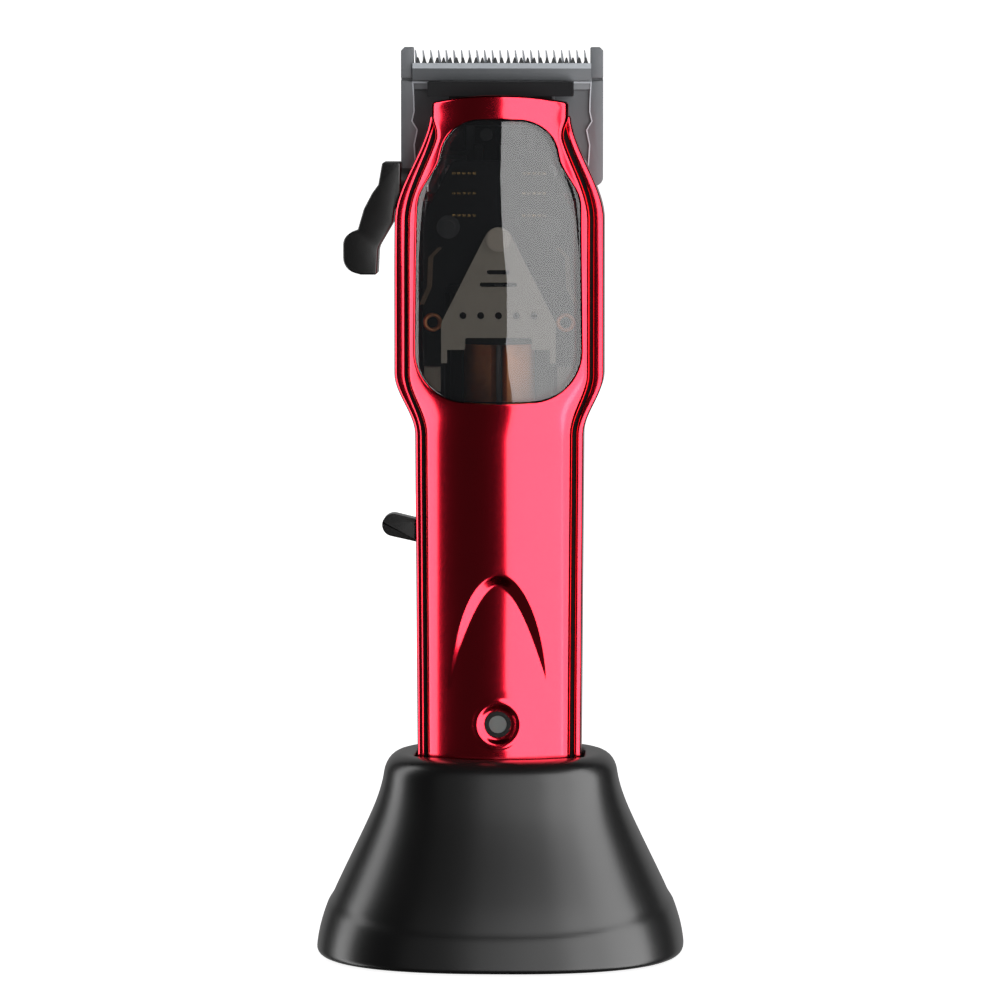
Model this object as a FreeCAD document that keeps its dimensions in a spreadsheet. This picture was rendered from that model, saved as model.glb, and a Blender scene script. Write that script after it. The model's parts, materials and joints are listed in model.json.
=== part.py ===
import FreeCAD, Part
import math
import os
import re

# Cordless hair clipper standing upright in its flared charging stand.
# Millimetres. +Z is up, the front of the clipper (the side with the window) faces -Y, and +X is to the
# right of somebody who looks at that front. The origin is on the floor under the middle of the stand.

Vector = FreeCAD.Vector
doc = FreeCAD.newDocument("HairClipper")

# ---------------------------------------------------------------- driving dimensions

DIMENSIONS = {
    # stand: a hollow bell with an oval foot
    "stand_height": 46.0,
    "stand_base_half_width": 41.9,
    "stand_base_half_depth": 41.0,
    "stand_top_half_width": 26.4,
    "stand_top_half_depth": 24.4,
    "stand_flare_top": 44.0,
    "stand_flare_power": 0.95,
    "stand_roundness": 2.5,
    "stand_wall": 2.4,
    "stand_rim_round": 2.5,
    "stand_foot_round": 1.6,
    "foot_height": 0.5,
    "foot_radius": 5.0,
    "foot_spread": 24.0,
    "foot_depth_spread": 17.0,
    "base_plate_thickness": 2.2,
    "stand_screw_spread": 30.0,
    "stand_screw_depth_spread": 19.5,
    "stand_boss_radius": 3.4,
    "stand_boss_top": 12.0,
    "weight_length": 50.0,
    "weight_width": 38.0,
    "weight_height": 6.8,
    "weight_corner": 5.0,
    "board_post_radius": 2.0,
    "board_post_spread": 15.0,
    "board_post_depth": 12.0,
    "stand_board_bottom": 14.5,
    "stand_board_thickness": 1.6,
    "stand_board_length": 38.0,
    "stand_board_width": 36.0,
    "cup_floor_top": 24.6,
    "cup_floor_thickness": 2.0,
    "cup_wall": 1.6,
    "cup_clearance": 0.8,
    "cup_flange": 0.8,
    "dock_arch_half_turn": 28.0,
    "dock_back_round": 13.5,
    "deck_thickness": 2.8,
    "port_width": 8.94,
    "port_height": 3.26,
    "port_length": 7.3,
    "port_rear": 35.0,
    # spring contacts between the stand and the clipper
    "pin_spread": 6.0,
    "pin_radius": 0.9,
    "pin_head_radius": 1.3,
    "pin_clearance": 0.07,
    "sleeve_radius": 1.6,
    "sleeve_lip_bottom": 21.05,
    "sleeve_top": 24.2,
    "contact_gap": 0.05,
    # clipper casing
    "clipper_bottom": 25.0,
    "cap_height": 3.0,
    "cap_plug_inset": 4.8,
    "casing_top": 195.0,
    "grip_half_width": 18.4,
    "grip_swell": 0.65,
    "body_half_width": 23.65,
    "head_half_width": 15.9,
    "neck_start": 119.0,
    "neck_end": 133.0,
    "shoulder_start": 167.5,
    "shoulder_end": 192.0,
    "grip_front": 16.5,
    "body_front": 19.0,
    "head_front": 7.5,
    "front_slope_start": 155.0,
    "front_slope_end": 205.0,
    "grip_rear": 16.5,
    "body_rear": 17.5,
    "head_rear": 8.5,
    "rear_slope_start": 158.0,
    "rear_slope_end": 196.0,
    "grip_face_radius": 27.0,
    "body_face_radius": 36.0,
    "head_face_radius": 30.0,
    "section_spacing": 4.2,
    "cover_inset_grip": 2.4,
    "cover_inset_body": 3.1,
    "cover_edge_round": 2.3,
    "cover_wall": 1.6,
    "cover_tuck": 2.4,
    "shell_wall": 1.4,
    "shell_back_wall": 1.8,
    "shell_roundness": 2.4,
    "seam_depth": 1.3,
    "seam_strip_thickness": 1.4,
    "head_opening_half_width": 14.4,
    "head_opening_bottom": 180.5,
    "blade_seat": 5.9,
    "blade_seat_bottom": 172.8,
    "seat_shelf_thickness": 1.6,
    # window
    "window_bottom": 126.4,
    "window_top": 190.3,
    "window_half_width": 19.1,
    "window_gap": 0.12,
    "lens_thickness": 2.0,
    # arch and indicator in the front cover
    "arch_apex": 86.3,
    "arch_base": 62.0,
    "arch_half_width": 11.2,
    "arch_depth": 1.0,
    "indicator_height": 53.9,
    "dish_radius": 5.0,
    "dish_depth": 1.1,
    "bezel_radius": 2.95,
    "indicator_radius": 2.0,
    # motor
    "motor_axis_depth": 0.5,
    "motor_bottom": 121.0,
    "motor_height": 30.0,
    "motor_radius": 11.5,
    "motor_wall": 0.8,
    "motor_end_plate": 1.5,
    "shaft_radius": 1.5,
    "shaft_bottom": 119.5,
    "shaft_top": 177.0,
    "bearing_radius": 3.6,
    "bearing_clearance": 0.05,
    "bearing_height": 2.5,
    "rotor_radius": 6.8,
    "rotor_height": 20.0,
    "coil_width": 7.2,
    "coil_depth": 2.2,
    "coil_height": 15.0,
    "coil_radius": 8.7,
    "cam_radius": 3.4,
    "cam_bottom": 172.0,
    "crank_offset": 1.2,
    "crank_radius": 1.5,
    "crank_height": 7.0,
    # blades
    "blade_half_width": 23.0,
    "comb_bottom": 174.5,
    "comb_shoulder": 201.5,
    "comb_tip": 205.6,
    "comb_post_top": 206.2,
    "comb_post_width": 3.0,
    "comb_front": 6.6,
    "comb_thickness": 2.4,
    "comb_pitch": 1.75,
    "comb_slot": 0.8,
    "cutter_half_width": 20.3,
    "cutter_root": 202.4,
    "cutter_tip": 205.0,
    "cutter_bar_bottom": 198.5,
    "cutter_front": 5.2,
    "cutter_thickness": 1.3,
    "cutter_pitch": 1.47,
    "cutter_slot": 0.72,
    "yoke_slot_half_width": 4.0,
    "yoke_arm": 2.0,
    # taper lever
    "lever_pivot_height": 176.0,
    "lever_hub_radius": 5.9,
    "lever_seat": 22.2,
    "lever_hub_outer": 25.9,
    "lever_gap": 0.3,
    "lever_arm_depth": 8.0,
    "lever_shaft_radius": 3.0,
    "lever_shaft_clearance": 0.05,
    "lever_screw_radius": 1.1,
    "lever_screw_head_radius": 2.4,
    "taper_offset": 1.54,
    "taper_start_angle": 25.0,
    "taper_pin_radius": 1.0,
    # power toggle
    "toggle_pivot_out": 15.5,
    "toggle_pivot_depth": -2.6,
    "toggle_pivot_height": 96.1,
    "toggle_tilt": 13.0,
    "toggle_length": 8.9,
    "toggle_width": 5.0,
    "toggle_tip_radius": 2.6,
    "toggle_pin_radius": 0.8,
    # battery and boards
    "cell_radius": 9.1,
    "cell_height": 65.0,
    "cell_bottom": 40.0,
    "cell_axis_depth": 3.2,
    "main_board_bottom": 34.0,
    "main_board_height": 80.0,
    "main_board_half_width": 12.0,
    "main_board_rear": -8.0,
    "main_board_thickness": 1.6,
    # chassis and badge
    "chassis_half_width": 17.2,
    "chassis_bottom": 127.5,
    "badge_bolt_radius": 1.2,
    "chassis_rear": -7.2,
    "chassis_thickness": 1.8,
    "badge_rear": -12.4,
    "badge_thickness": 0.8,
    "badge_bolt_height": 163.4,
}

sheet = doc.addObject("Spreadsheet::Sheet", "Dims")
for row, (alias, value) in enumerate(DIMENSIONS.items(), start=1):
    sheet.set("A%d" % row, alias)
    sheet.set("B%d" % row, str(value))
    sheet.setAlias("B%d" % row, alias)
doc.recompute()


def dim(alias):
    """A driving dimension, read back from the sheet."""
    return float(sheet.get(alias))


def with_sheet(expression):
    """The expression with each alias written as a cell of the sheet."""
    return re.sub(r"[a-z]\w+", lambda word: "Dims." + word.group()
                  if word.group() in DIMENSIONS else word.group(), str(expression))


# ---------------------------------------------------------------- document helpers

AXIS_TURNS = {
    "X": FreeCAD.Rotation(Vector(0, 1, 0), 90),
    "-Y": FreeCAD.Rotation(Vector(1, 0, 0), 90),
    "Y": FreeCAD.Rotation(Vector(1, 0, 0), -90),
    "Z": FreeCAD.Rotation(),
}


def bind(obj, **expressions):
    """Bind properties of an object to expressions in the sheet's dimensions."""
    for name, expression in expressions.items():
        obj.setExpression(name.replace("__", "."), with_sheet(expression))
    return obj


def place(obj, at):
    """Bind an object's position to three expressions."""
    for letter, expression in zip("xyz", at):
        obj.setExpression("Placement.Base." + letter, with_sheet(expression))
    return obj


def box(name, length, width, height, at):
    """A block with one corner at the given place."""
    block = doc.addObject("Part::Box", name)
    return place(bind(block, Length=length, Width=width, Height=height), at)


def block_between(name, xs, ys, zs):
    """A block between three pairs of planes, each an expression."""
    sizes = ["(%s) - (%s)" % (high, low) for low, high in (xs, ys, zs)]
    return box(name, *sizes, at=(xs[0], ys[0], zs[0]))


def cylinder(name, radius, height, at, axis="Z"):
    """A round bar that starts at the given place and runs along an axis."""
    bar = doc.addObject("Part::Cylinder", name)
    bar.Placement = FreeCAD.Placement(Vector(), AXIS_TURNS[axis])
    return place(bind(bar, Radius=radius, Height=height), at)


def cut(name, base, tool):
    """The base without the tool."""
    result = doc.addObject("Part::Cut", name)
    result.Base = base
    result.Tool = tool
    return result


def fuse(name, *shapes):
    """Several solids joined into one."""
    result = doc.addObject("Part::MultiFuse", name)
    result.Shapes = list(shapes)
    return result


def group(name, members):
    """Separate solids kept together as one node."""
    result = doc.addObject("Part::Compound", name)
    result.Links = list(members)
    return result


def feature(name, shape, placement=None):
    """A document object with a shape worked out by Part's own functions, moved to its place."""
    result = doc.addObject("Part::Feature", name)
    result.Shape = shape
    if placement is not None:
        result.Placement = placement
    return result


subparts = []


def subpart(obj, label):
    """Name a finished object as one piece of the clipper."""
    obj.Label = label
    subparts.append(obj)
    return obj


# ---------------------------------------------------------------- outlines and sketches

def rounded_outline(corners):
    """Straight runs joined by tangent arcs; each corner is (x, y, radius)."""
    count = len(corners)
    bends = []
    for index, (x, y, radius) in enumerate(corners):
        here = Vector(x, y, 0)
        back = (Vector(*corners[index - 1][:2], 0) - here).normalize()
        ahead = (Vector(*corners[(index + 1) % count][:2], 0) - here).normalize()
        half = back.getAngle(ahead) / 2
        if radius == 0:
            bends.append((here, None, here))
            continue
        reach = radius / math.tan(half)
        bisector = (back + ahead).normalize()
        middle = here + bisector * (radius / math.sin(half) - radius)
        bends.append((here + back * reach, middle, here + ahead * reach))
    curves = []
    for index, (start, middle, end) in enumerate(bends):
        if middle is not None:
            curves.append(Part.Arc(start, middle, end))
        following = bends[(index + 1) % count][0]
        if (following - end).Length > 1e-6:
            curves.append(Part.LineSegment(end, following))
    return curves


def mirrored(corners):
    """A right half of an outline with its left half added."""
    left = [(-x, y, radius) for x, y, radius in reversed(corners) if x > 0]
    return corners + left


def rectangle(x_low, x_high, y_low, y_high, radius=0):
    """The four corners of an upright rectangle."""
    return [(x_low, y_low, radius), (x_high, y_low, radius),
            (x_high, y_high, radius), (x_low, y_high, radius)]


def sketch_on(body, role, outlines):
    """A sketch of closed outlines on one of the body's own origin planes."""
    plane = [item for item in body.Origin.OriginFeatures if item.Role == role][0]
    sketch = body.newObject("Sketcher::SketchObject", body.Name + "Sketch")
    sketch.AttachmentSupport = [(plane, "")]
    sketch.MapMode = "FlatFace"
    for outline in outlines:
        for curve in rounded_outline(outline):
            sketch.addGeometry(curve, False)
    return sketch


def padded_body(name, role, outlines, thickness, at):
    """A plate: a sketch of an outline and its holes, padded by a bound thickness."""
    body = doc.addObject("PartDesign::Body", name)
    pad = body.newObject("PartDesign::Pad", name + "Pad")
    pad.Profile = sketch_on(body, role, outlines)
    bind(pad, Length=thickness)
    place(body, at)
    return body


def pocket(body, name, role, outlines, depth):
    """Sink outlines into a body from the origin plane that its pad starts at."""
    doc.recompute()
    before = body.Shape.Volume
    result = body.newObject("PartDesign::Pocket", name)
    result.Profile = sketch_on(body, role, outlines)
    result.Reversed = True
    bind(result, Length=depth)
    doc.recompute()
    if not body.Shape.Volume < before:
        raise ValueError(name + " cuts nothing")
    return result


def repeated(body, feature_obj, direction_role, length, occurrences):
    """Repeat a feature in a row."""
    pattern = body.newObject("PartDesign::LinearPattern", feature_obj.Name + "Row")
    pattern.Originals = [feature_obj]
    axis = [item for item in body.Origin.OriginFeatures if item.Role == direction_role][0]
    pattern.Direction = (axis, [""])
    bind(pattern, Length=length)
    pattern.Occurrences = occurrences
    body.Tip = pattern
    return pattern


# ---------------------------------------------------------------- casing form

def smooth(low, high, value):
    """0 below low, 1 above high, and an S curve between."""
    ratio = min(1.0, max(0.0, (value - low) / (high - low)))
    return ratio * ratio * (3 - 2 * ratio)


def casing_value(z, grip, body, head, slope_start, slope_end):
    """A size that changes from grip to body at the neck and from body to head at the shoulder."""
    neck = smooth(dim("neck_start"), dim("neck_end"), z)
    slope = smooth(slope_start, slope_end, z)
    return grip + (body - grip) * neck + (head - body) * slope


def half_width(z):
    """Half the width of the casing at a height."""
    grip_share = (z - dim("clipper_bottom")) / (dim("neck_start") - dim("clipper_bottom"))
    grip = dim("grip_half_width") + dim("grip_swell") * min(1.0, grip_share)
    body = dim("body_half_width")
    return casing_value(z, grip, body, dim("head_half_width"), dim("shoulder_start"), dim("shoulder_end"))


def front_reach(z):
    """How far the middle of the front face stands in front of the clipper's axis."""
    return casing_value(z, dim("grip_front"), dim("body_front"), dim("head_front"),
                        dim("front_slope_start"), dim("front_slope_end"))


def rear_reach(z):
    """How far the back stands behind the clipper's axis."""
    return casing_value(z, dim("grip_rear"), dim("body_rear"), dim("head_rear"),
                        dim("rear_slope_start"), dim("rear_slope_end"))


def face_radius(z):
    """Radius of the convex front face across its width."""
    return casing_value(z, dim("grip_face_radius"), dim("body_face_radius"), dim("head_face_radius"),
                        dim("shoulder_start"), dim("shoulder_end"))


def cover_half_width(z):
    """Half the width of the front cover, inside the groove."""
    inset = casing_value(z, dim("cover_inset_grip"), dim("cover_inset_body"), dim("cover_inset_grip"),
                         dim("shoulder_start"), dim("shoulder_end"))
    return half_width(z) - inset


def cover_corner(z, inward=0.0):
    """Where the cover's edge rounding starts and ends, for the surface a distance inside the outside."""
    radius = face_radius(z) - inward
    edge_round = max(dim("cover_edge_round") - inward, 0.4)
    side = cover_half_width(z) - inward
    centre_y = face_radius(z) - front_reach(z)
    across = side - edge_round
    along = math.sqrt((radius - edge_round) ** 2 - across ** 2)
    round_centre = Vector(across, centre_y - along, z)
    outward = (round_centre - Vector(0, centre_y, z)).normalize()
    on_face = Vector(0, centre_y, z) + outward * radius
    diagonal = (outward + Vector(1, 0, 0)).normalize()
    return on_face, round_centre + diagonal * edge_round, round_centre + Vector(edge_round, 0, 0)


def lip_depth(z):
    """Where the rear shell's lip ends, level with the end of the cover's edge rounding."""
    return cover_corner(z)[2].y + 0.5


def flipped(point):
    """The same point on the left side."""
    return Vector(-point.x, point.y, point.z)


def cover_section(z, inward=0.0):
    """One closed cross-section of the front cover: face arc, two edge arcs, two sides and a back."""
    on_face, on_round, on_side = cover_corner(z, inward)
    front = Vector(0, inward - front_reach(z), z)
    back_y = lip_depth(z) + dim("cover_tuck") + inward
    back = Vector(on_side.x, back_y, z)
    curves = [
        Part.LineSegment(flipped(back), flipped(on_side)),
        Part.Arc(flipped(on_side), flipped(on_round), flipped(on_face)),
        Part.Arc(flipped(on_face), front, on_face),
        Part.Arc(on_face, on_round, on_side),
        Part.LineSegment(on_side, back),
        Part.LineSegment(back, flipped(back)),
    ]
    return Part.Wire([curve.toShape() for curve in curves])


def shell_section(z, side_wall=0.0, back_wall=0.0, forward=0.0):
    """One closed cross-section of the rear shell: a round back, straight sides and an open front."""
    side = half_width(z) - side_wall
    back = rear_reach(z) - back_wall
    lip = lip_depth(z) - forward
    power = 2 / dim("shell_roundness")
    points = [Vector(side, lip, z), Vector(side, lip / 2, z)]
    steps = 16
    for step in range(steps + 1):
        turn = math.pi * step / steps
        across = math.copysign(abs(math.cos(turn)) ** power, math.cos(turn))
        points.append(Vector(side * across, back * math.sin(turn) ** power, z))
    points += [Vector(-side, lip / 2, z), Vector(-side, lip, z)]
    curve = Part.BSplineCurve()
    curve.interpolate(points)
    return Part.Wire([curve.toShape(), Part.LineSegment(points[-1], points[0]).toShape()])


def casing_heights(bottom, top):
    """Evenly spaced heights of the cross-sections."""
    count = math.ceil((top - bottom) / dim("section_spacing"))
    return [bottom + (top - bottom) * step / count for step in range(count + 1)]


def loft(sections):
    """A solid through closed cross-sections."""
    return Part.makeLoft(sections, True, False)


def front_form(inward, bottom, top):
    """The solid inside the front cover's outer face, or a distance inside it."""
    return loft([cover_section(z, inward) for z in casing_heights(bottom, top)])


def shell_form(side_wall, back_wall, forward, bottom, top):
    """The solid inside the rear shell's outer face, or inside its walls."""
    return loft([shell_section(z, side_wall, back_wall, forward) for z in casing_heights(bottom, top)])


def window_corners(gap=0.0):
    """Right half of the window's outline, from the bottom up."""
    side = dim("window_half_width") - gap
    bottom = dim("window_bottom") + gap
    top = dim("window_top") - gap
    return [(0, bottom, 80), (side, bottom + 0.9, 11.5), (side - 0.5, top - 17.4, 9),
            (13.7 - gap, top - 9.8, 6), (11.7 - gap, top, 5)]


def window_prism(gap=0.0):
    """The window's outline pushed through the front of the clipper."""
    curves = rounded_outline(mirrored(window_corners(gap)))
    wire = Part.Wire([curve.toShape() for curve in curves])
    wire.rotate(Vector(), Vector(1, 0, 0), 90)
    wire.translate(Vector(0, -2, 0))
    return Part.Face(wire).extrude(Vector(0, -30, 0))


# ---------------------------------------------------------------- stand

def stand_reach(z):
    """Half width and half depth of the stand's bell at a height."""
    fall = max(0.0, dim("stand_flare_top") - z) / dim("stand_flare_top")
    flare = smooth(0, 1, fall ** dim("stand_flare_power"))
    wide = dim("stand_top_half_width")
    deep = dim("stand_top_half_depth")
    wide += (dim("stand_base_half_width") - wide) * flare
    deep += (dim("stand_base_half_depth") - deep) * flare
    return wide, deep


def oval_wire(wide, deep, z, roundness):
    """A closed superellipse."""
    power = 2 / roundness
    steps = 40
    points = []
    for step in range(steps):
        turn = 2 * math.pi * step / steps
        across = math.copysign(abs(math.cos(turn)) ** power, math.cos(turn))
        along = math.copysign(abs(math.sin(turn)) ** power, math.sin(turn))
        points.append(Vector(wide * across, deep * along, z))
    curve = Part.BSplineCurve()
    curve.interpolate(Points=points, PeriodicFlag=True)
    return Part.Wire([curve.toShape()])


def stand_loft(inward, heights):
    """A stack of oval sections of the bell, a distance inside its outside."""
    wires = []
    for z, pulled_in in heights:
        wide, deep = stand_reach(z)
        wires.append(oval_wire(wide - inward - pulled_in, deep - inward - pulled_in, z,
                               dim("stand_roundness")))
    return loft(wires)


def quarter_round(z_flat, radius, direction):
    """Heights and inward steps along a quarter circle that ends on a flat face."""
    start = z_flat - direction * radius
    angles = [math.radians(angle) for angle in (0, 22.5, 45, 67.5, 90)]
    return [(start + direction * radius * math.sin(angle), radius * (1 - math.cos(angle)))
            for angle in angles]


def clipper_oval(clearance, bottom, top):
    """An upright bar a little larger all round than the grip: an arched front and a round back."""
    wide = half_width(dim("clipper_bottom")) + clearance
    front = front_reach(dim("clipper_bottom")) + clearance
    rear = rear_reach(dim("clipper_bottom")) + clearance
    arch = dim("grip_face_radius") + clearance
    half_turn = math.radians(dim("dock_arch_half_turn"))
    across = arch * math.sin(half_turn)
    corner_y = arch * (1 - math.cos(half_turn)) + (wide - across) * math.tan(half_turn) - front
    corners = [(arch * math.tan(half_turn / 2), -front, arch - 0.01), (wide, corner_y, 3.0),
               (wide, rear, dim("dock_back_round") + clearance)]
    curves = rounded_outline(mirrored(corners))
    wire = Part.Wire([curve.toShape() for curve in curves])
    wire.translate(Vector(0, 0, bottom))
    return Part.Face(wire).extrude(Vector(0, 0, top - bottom))


def stand_solid(inward, bottom, top, rounded):
    """The bell between two heights, with its rim and foot rounded off when asked."""
    low = bottom + (dim("stand_foot_round") if rounded else 0)
    high = top - (dim("stand_rim_round") if rounded else 0)
    steps = 10
    body = stand_loft(inward, [(low + (high - low) * step / steps, 0) for step in range(steps + 1)])
    if not rounded:
        return body
    rim = stand_loft(inward, quarter_round(top, dim("stand_rim_round"), 1))
    foot = stand_loft(inward, quarter_round(bottom, dim("stand_foot_round"), -1))
    return body.fuse([rim, foot])


def four_places(spread, depth_spread):
    """The four corners of an upright rectangle centred on the axis."""
    return [(side * spread, end * depth_spread) for side in (-1, 1) for end in (-1, 1)]


def make_stand_shell():
    """Flared bell, open below, with a deck and a socket at the top and four screw bosses inside."""
    foot = dim("foot_height")
    top = dim("stand_height")
    wall = dim("stand_wall")
    deck = top - dim("deck_thickness")
    outside = stand_solid(0, foot, top, rounded=True)
    shape = outside.cut(stand_solid(wall, foot - 1, deck, rounded=False))
    plate_top = foot + dim("base_plate_thickness")
    for x, y in four_places(dim("stand_screw_spread"), dim("stand_screw_depth_spread")):
        boss = Part.makeCylinder(dim("stand_boss_radius"), dim("stand_boss_top") - plate_top,
                                 Vector(x, y, plate_top))
        hole = Part.makeCylinder(1.1, 7, Vector(x, y, plate_top))
        shape = shape.fuse(boss.common(outside)).cut(hole)
    shape = shape.cut(clipper_oval(dim("cup_clearance"), deck - 1, top + 1))
    port_z = dim("stand_board_bottom") + dim("stand_board_thickness") + dim("port_height") / 2
    shape = shape.cut(port_bar(0.4, port_z, dim("stand_top_half_depth"), dim("stand_base_half_depth")))
    subpart(feature("StandShell", shape), "stand_shell")


def port_bar(clearance, z, front, rear):
    """A bar along Y with the charging port's round-ended outline."""
    wide = dim("port_width") / 2 + clearance
    high = dim("port_height") / 2 + clearance
    curves = rounded_outline(rectangle(-wide, wide, -high, high, high - 0.01))
    wire = Part.Wire([curve.toShape() for curve in curves])
    wire.rotate(Vector(), Vector(1, 0, 0), 90)
    wire.translate(Vector(0, front, z))
    return Part.Face(wire).extrude(Vector(0, rear - front, 0))


def make_dock_cup():
    """Cup under the deck that the clipper stands in: a flange, a wall, and a floor with two holes."""
    clearance = dim("cup_clearance")
    wall = dim("cup_wall")
    flange = dim("cup_flange")
    bottom = dim("cup_floor_top") - dim("cup_floor_thickness")
    top = dim("stand_height") - dim("deck_thickness")
    shape = clipper_oval(clearance + wall, bottom, top)
    shape = shape.fuse(clipper_oval(clearance + wall + flange, top - wall, top))
    shape = shape.cut(clipper_oval(clearance, dim("cup_floor_top"), top + 1))
    for side in (-1, 1):
        hole = Part.makeCylinder(dim("sleeve_radius"), 2 * dim("cup_floor_thickness"),
                                 Vector(side * dim("pin_spread"), 0, bottom - 1))
        shape = shape.cut(hole)
    subpart(feature("DockCup", shape), "dock_cup")


def make_stand_floor():
    """Base plate with four board posts, the weight on it, the rubber feet and the screws."""
    foot = dim("foot_height")
    thickness = dim("base_plate_thickness")
    plate = stand_loft(dim("stand_wall") + 0.25, [(foot, 0.8), (foot + thickness / 2, 0.4),
                                                  (foot + thickness, 0)])
    for x, y in four_places(dim("stand_screw_spread"), dim("stand_screw_depth_spread")):
        head_hole = Part.makeCone(3.1, 1.3, 1.8, Vector(x, y, foot))
        shaft_hole = Part.makeCylinder(1.3, thickness, Vector(x, y, foot))
        plate = plate.cut(head_hole).cut(shaft_hole)
    posts = [Part.makeCylinder(dim("board_post_radius"), dim("stand_board_bottom") - foot - thickness,
                               Vector(x, y, foot + thickness))
             for x, y in four_places(dim("board_post_spread"), dim("board_post_depth"))]
    subpart(feature("StandBasePlate", plate.fuse(posts)), "stand_base_plate")

    plate_top = "foot_height + base_plate_thickness"
    corners = rectangle(-dim("weight_length") / 2, dim("weight_length") / 2,
                        -dim("weight_width") / 2, dim("weight_width") / 2, dim("weight_corner"))
    hole_half = dim("board_post_radius") + 0.6
    holes = [rectangle(x - hole_half, x + hole_half, y - hole_half, y + hole_half, hole_half - 0.01)
             for x, y in four_places(dim("board_post_spread"), dim("board_post_depth"))]
    weight = padded_body("StandWeight", "XY_Plane", [corners] + holes, "weight_height",
                         (0, 0, plate_top))
    subpart(weight, "stand_weight")

    feet = [cylinder("StandFoot%d" % index, "foot_radius", "foot_height",
                     ("%d * foot_spread" % x, "%d * foot_depth_spread" % y, 0))
            for index, (x, y) in enumerate(four_places(1, 1))]
    subpart(group("StandFeet", feet), "stand_feet")

    screws = []
    for index, (x, y) in enumerate(four_places(1, 1)):
        at = ("%d * stand_screw_spread" % x, "%d * stand_screw_depth_spread" % y)
        head = doc.addObject("Part::Cone", "StandScrewHead%d" % index)
        place(bind(head, Radius1=2.9, Radius2=1.1, Height=1.7), at + ("foot_height",))
        shank = cylinder("StandScrewShank%d" % index, 1.1, 8, at + ("foot_height",))
        screws.append(fuse("StandScrew%d" % index, head, shank))
    subpart(group("StandScrews", screws), "stand_screws")


def make_stand_electronics():
    """Charging board on its posts with the port at the rear and two sprung contacts."""
    board_top = "stand_board_bottom + stand_board_thickness"
    half = dim("stand_board_length") / 2
    front = -(dim("board_post_depth") + 3)
    rear = front + dim("stand_board_width")
    tongue_half = dim("port_width") / 2 + 1.5
    tongue_rear = dim("port_rear") - dim("port_length") / 2
    outline = [(half, front, 2.0), (half, rear, 2.0), (tongue_half, rear, 0), (tongue_half, tongue_rear, 0)]
    board = padded_body("StandBoard", "XY_Plane", [mirrored(outline)], "stand_board_thickness",
                        (0, 0, "stand_board_bottom"))
    subpart(board, "stand_board")

    wide = dim("port_width") / 2
    high = dim("port_height") / 2
    wall = 0.3
    outline = rectangle(-wide, wide, -high, high, high - 0.01)
    mouth = rectangle(wall - wide, wide - wall, wall - high, high - wall, high - wall - 0.01)
    port = padded_body("UsbPort", "XZ_Plane", [outline], "port_length",
                       (0, "port_rear", board_top + " + port_height / 2"))
    pocket(port, "UsbMouth", "XZ_Plane", [mouth], "port_length - 1")
    tongue = rectangle(0.9 - wide, wide - 0.9, -0.35, 0.35)
    blade = port.newObject("PartDesign::Pad", "UsbTongue")
    blade.Profile = sketch_on(port, "XZ_Plane", [tongue])
    bind(blade, Length="port_length - 0.5")
    port.Tip = blade
    subpart(port, "usb_c_port")

    sleeves = []
    springs = []
    pins = []
    head_top = "sleeve_lip_bottom - 0.05"
    for index, side in enumerate((-1, 1)):
        x = "%d * pin_spread" % side
        tube = cylinder("SleeveTube%d" % index, "sleeve_radius",
                        "sleeve_top - stand_board_bottom - stand_board_thickness", (x, 0, board_top))
        wide_bore = cylinder("SleeveBore%d" % index, "pin_head_radius + 0.1",
                             "sleeve_lip_bottom - stand_board_bottom - stand_board_thickness",
                             (x, 0, board_top))
        lip_bore = cylinder("SleeveLipBore%d" % index, "pin_radius + pin_clearance",
                            "sleeve_top - sleeve_lip_bottom + 1", (x, 0, "sleeve_lip_bottom - 0.5"))
        bores = fuse("SleeveBores%d" % index, wide_bore, lip_bore)
        sleeves.append(cut("Sleeve%d" % index, tube, bores))
        stem = cylinder("PinStem%d" % index, "pin_radius",
                        "clipper_bottom - contact_gap - (%s)" % head_top, (x, 0, head_top))
        head = cylinder("PinHead%d" % index, "pin_head_radius", 0.6, (x, 0, head_top + " - 0.6"))
        pins.append(fuse("Pin%d" % index, stem, head))
        springs.append(contact_spring(index, side))
    subpart(group("ContactSleeves", sleeves), "contact_sleeves")
    subpart(group("ContactSprings", springs), "contact_springs")
    subpart(group("ChargingPins", pins), "charging_pins")


def contact_spring(index, side):
    """Small coil spring that stands on the board under a charging pin."""
    wire_radius = 0.16
    bottom = dim("stand_board_bottom") + dim("stand_board_thickness") + wire_radius
    top = dim("sleeve_lip_bottom") - 0.65 - wire_radius - 0.05
    coil_radius = dim("pin_head_radius") - wire_radius - 0.1
    path = Part.Wire(Part.makeHelix((top - bottom) / 5, top - bottom, coil_radius).Edges)
    profile = Part.Wire(Part.makeCircle(wire_radius, Vector(coil_radius, 0, 0), Vector(0, 1, 0)))
    coil = path.makePipeShell([profile], True, True)
    placement = FreeCAD.Placement(Vector(side * dim("pin_spread"), 0, bottom), FreeCAD.Rotation())
    return feature("ContactSpring%d" % index, coil, placement)


# ---------------------------------------------------------------- clipper casing

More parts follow.
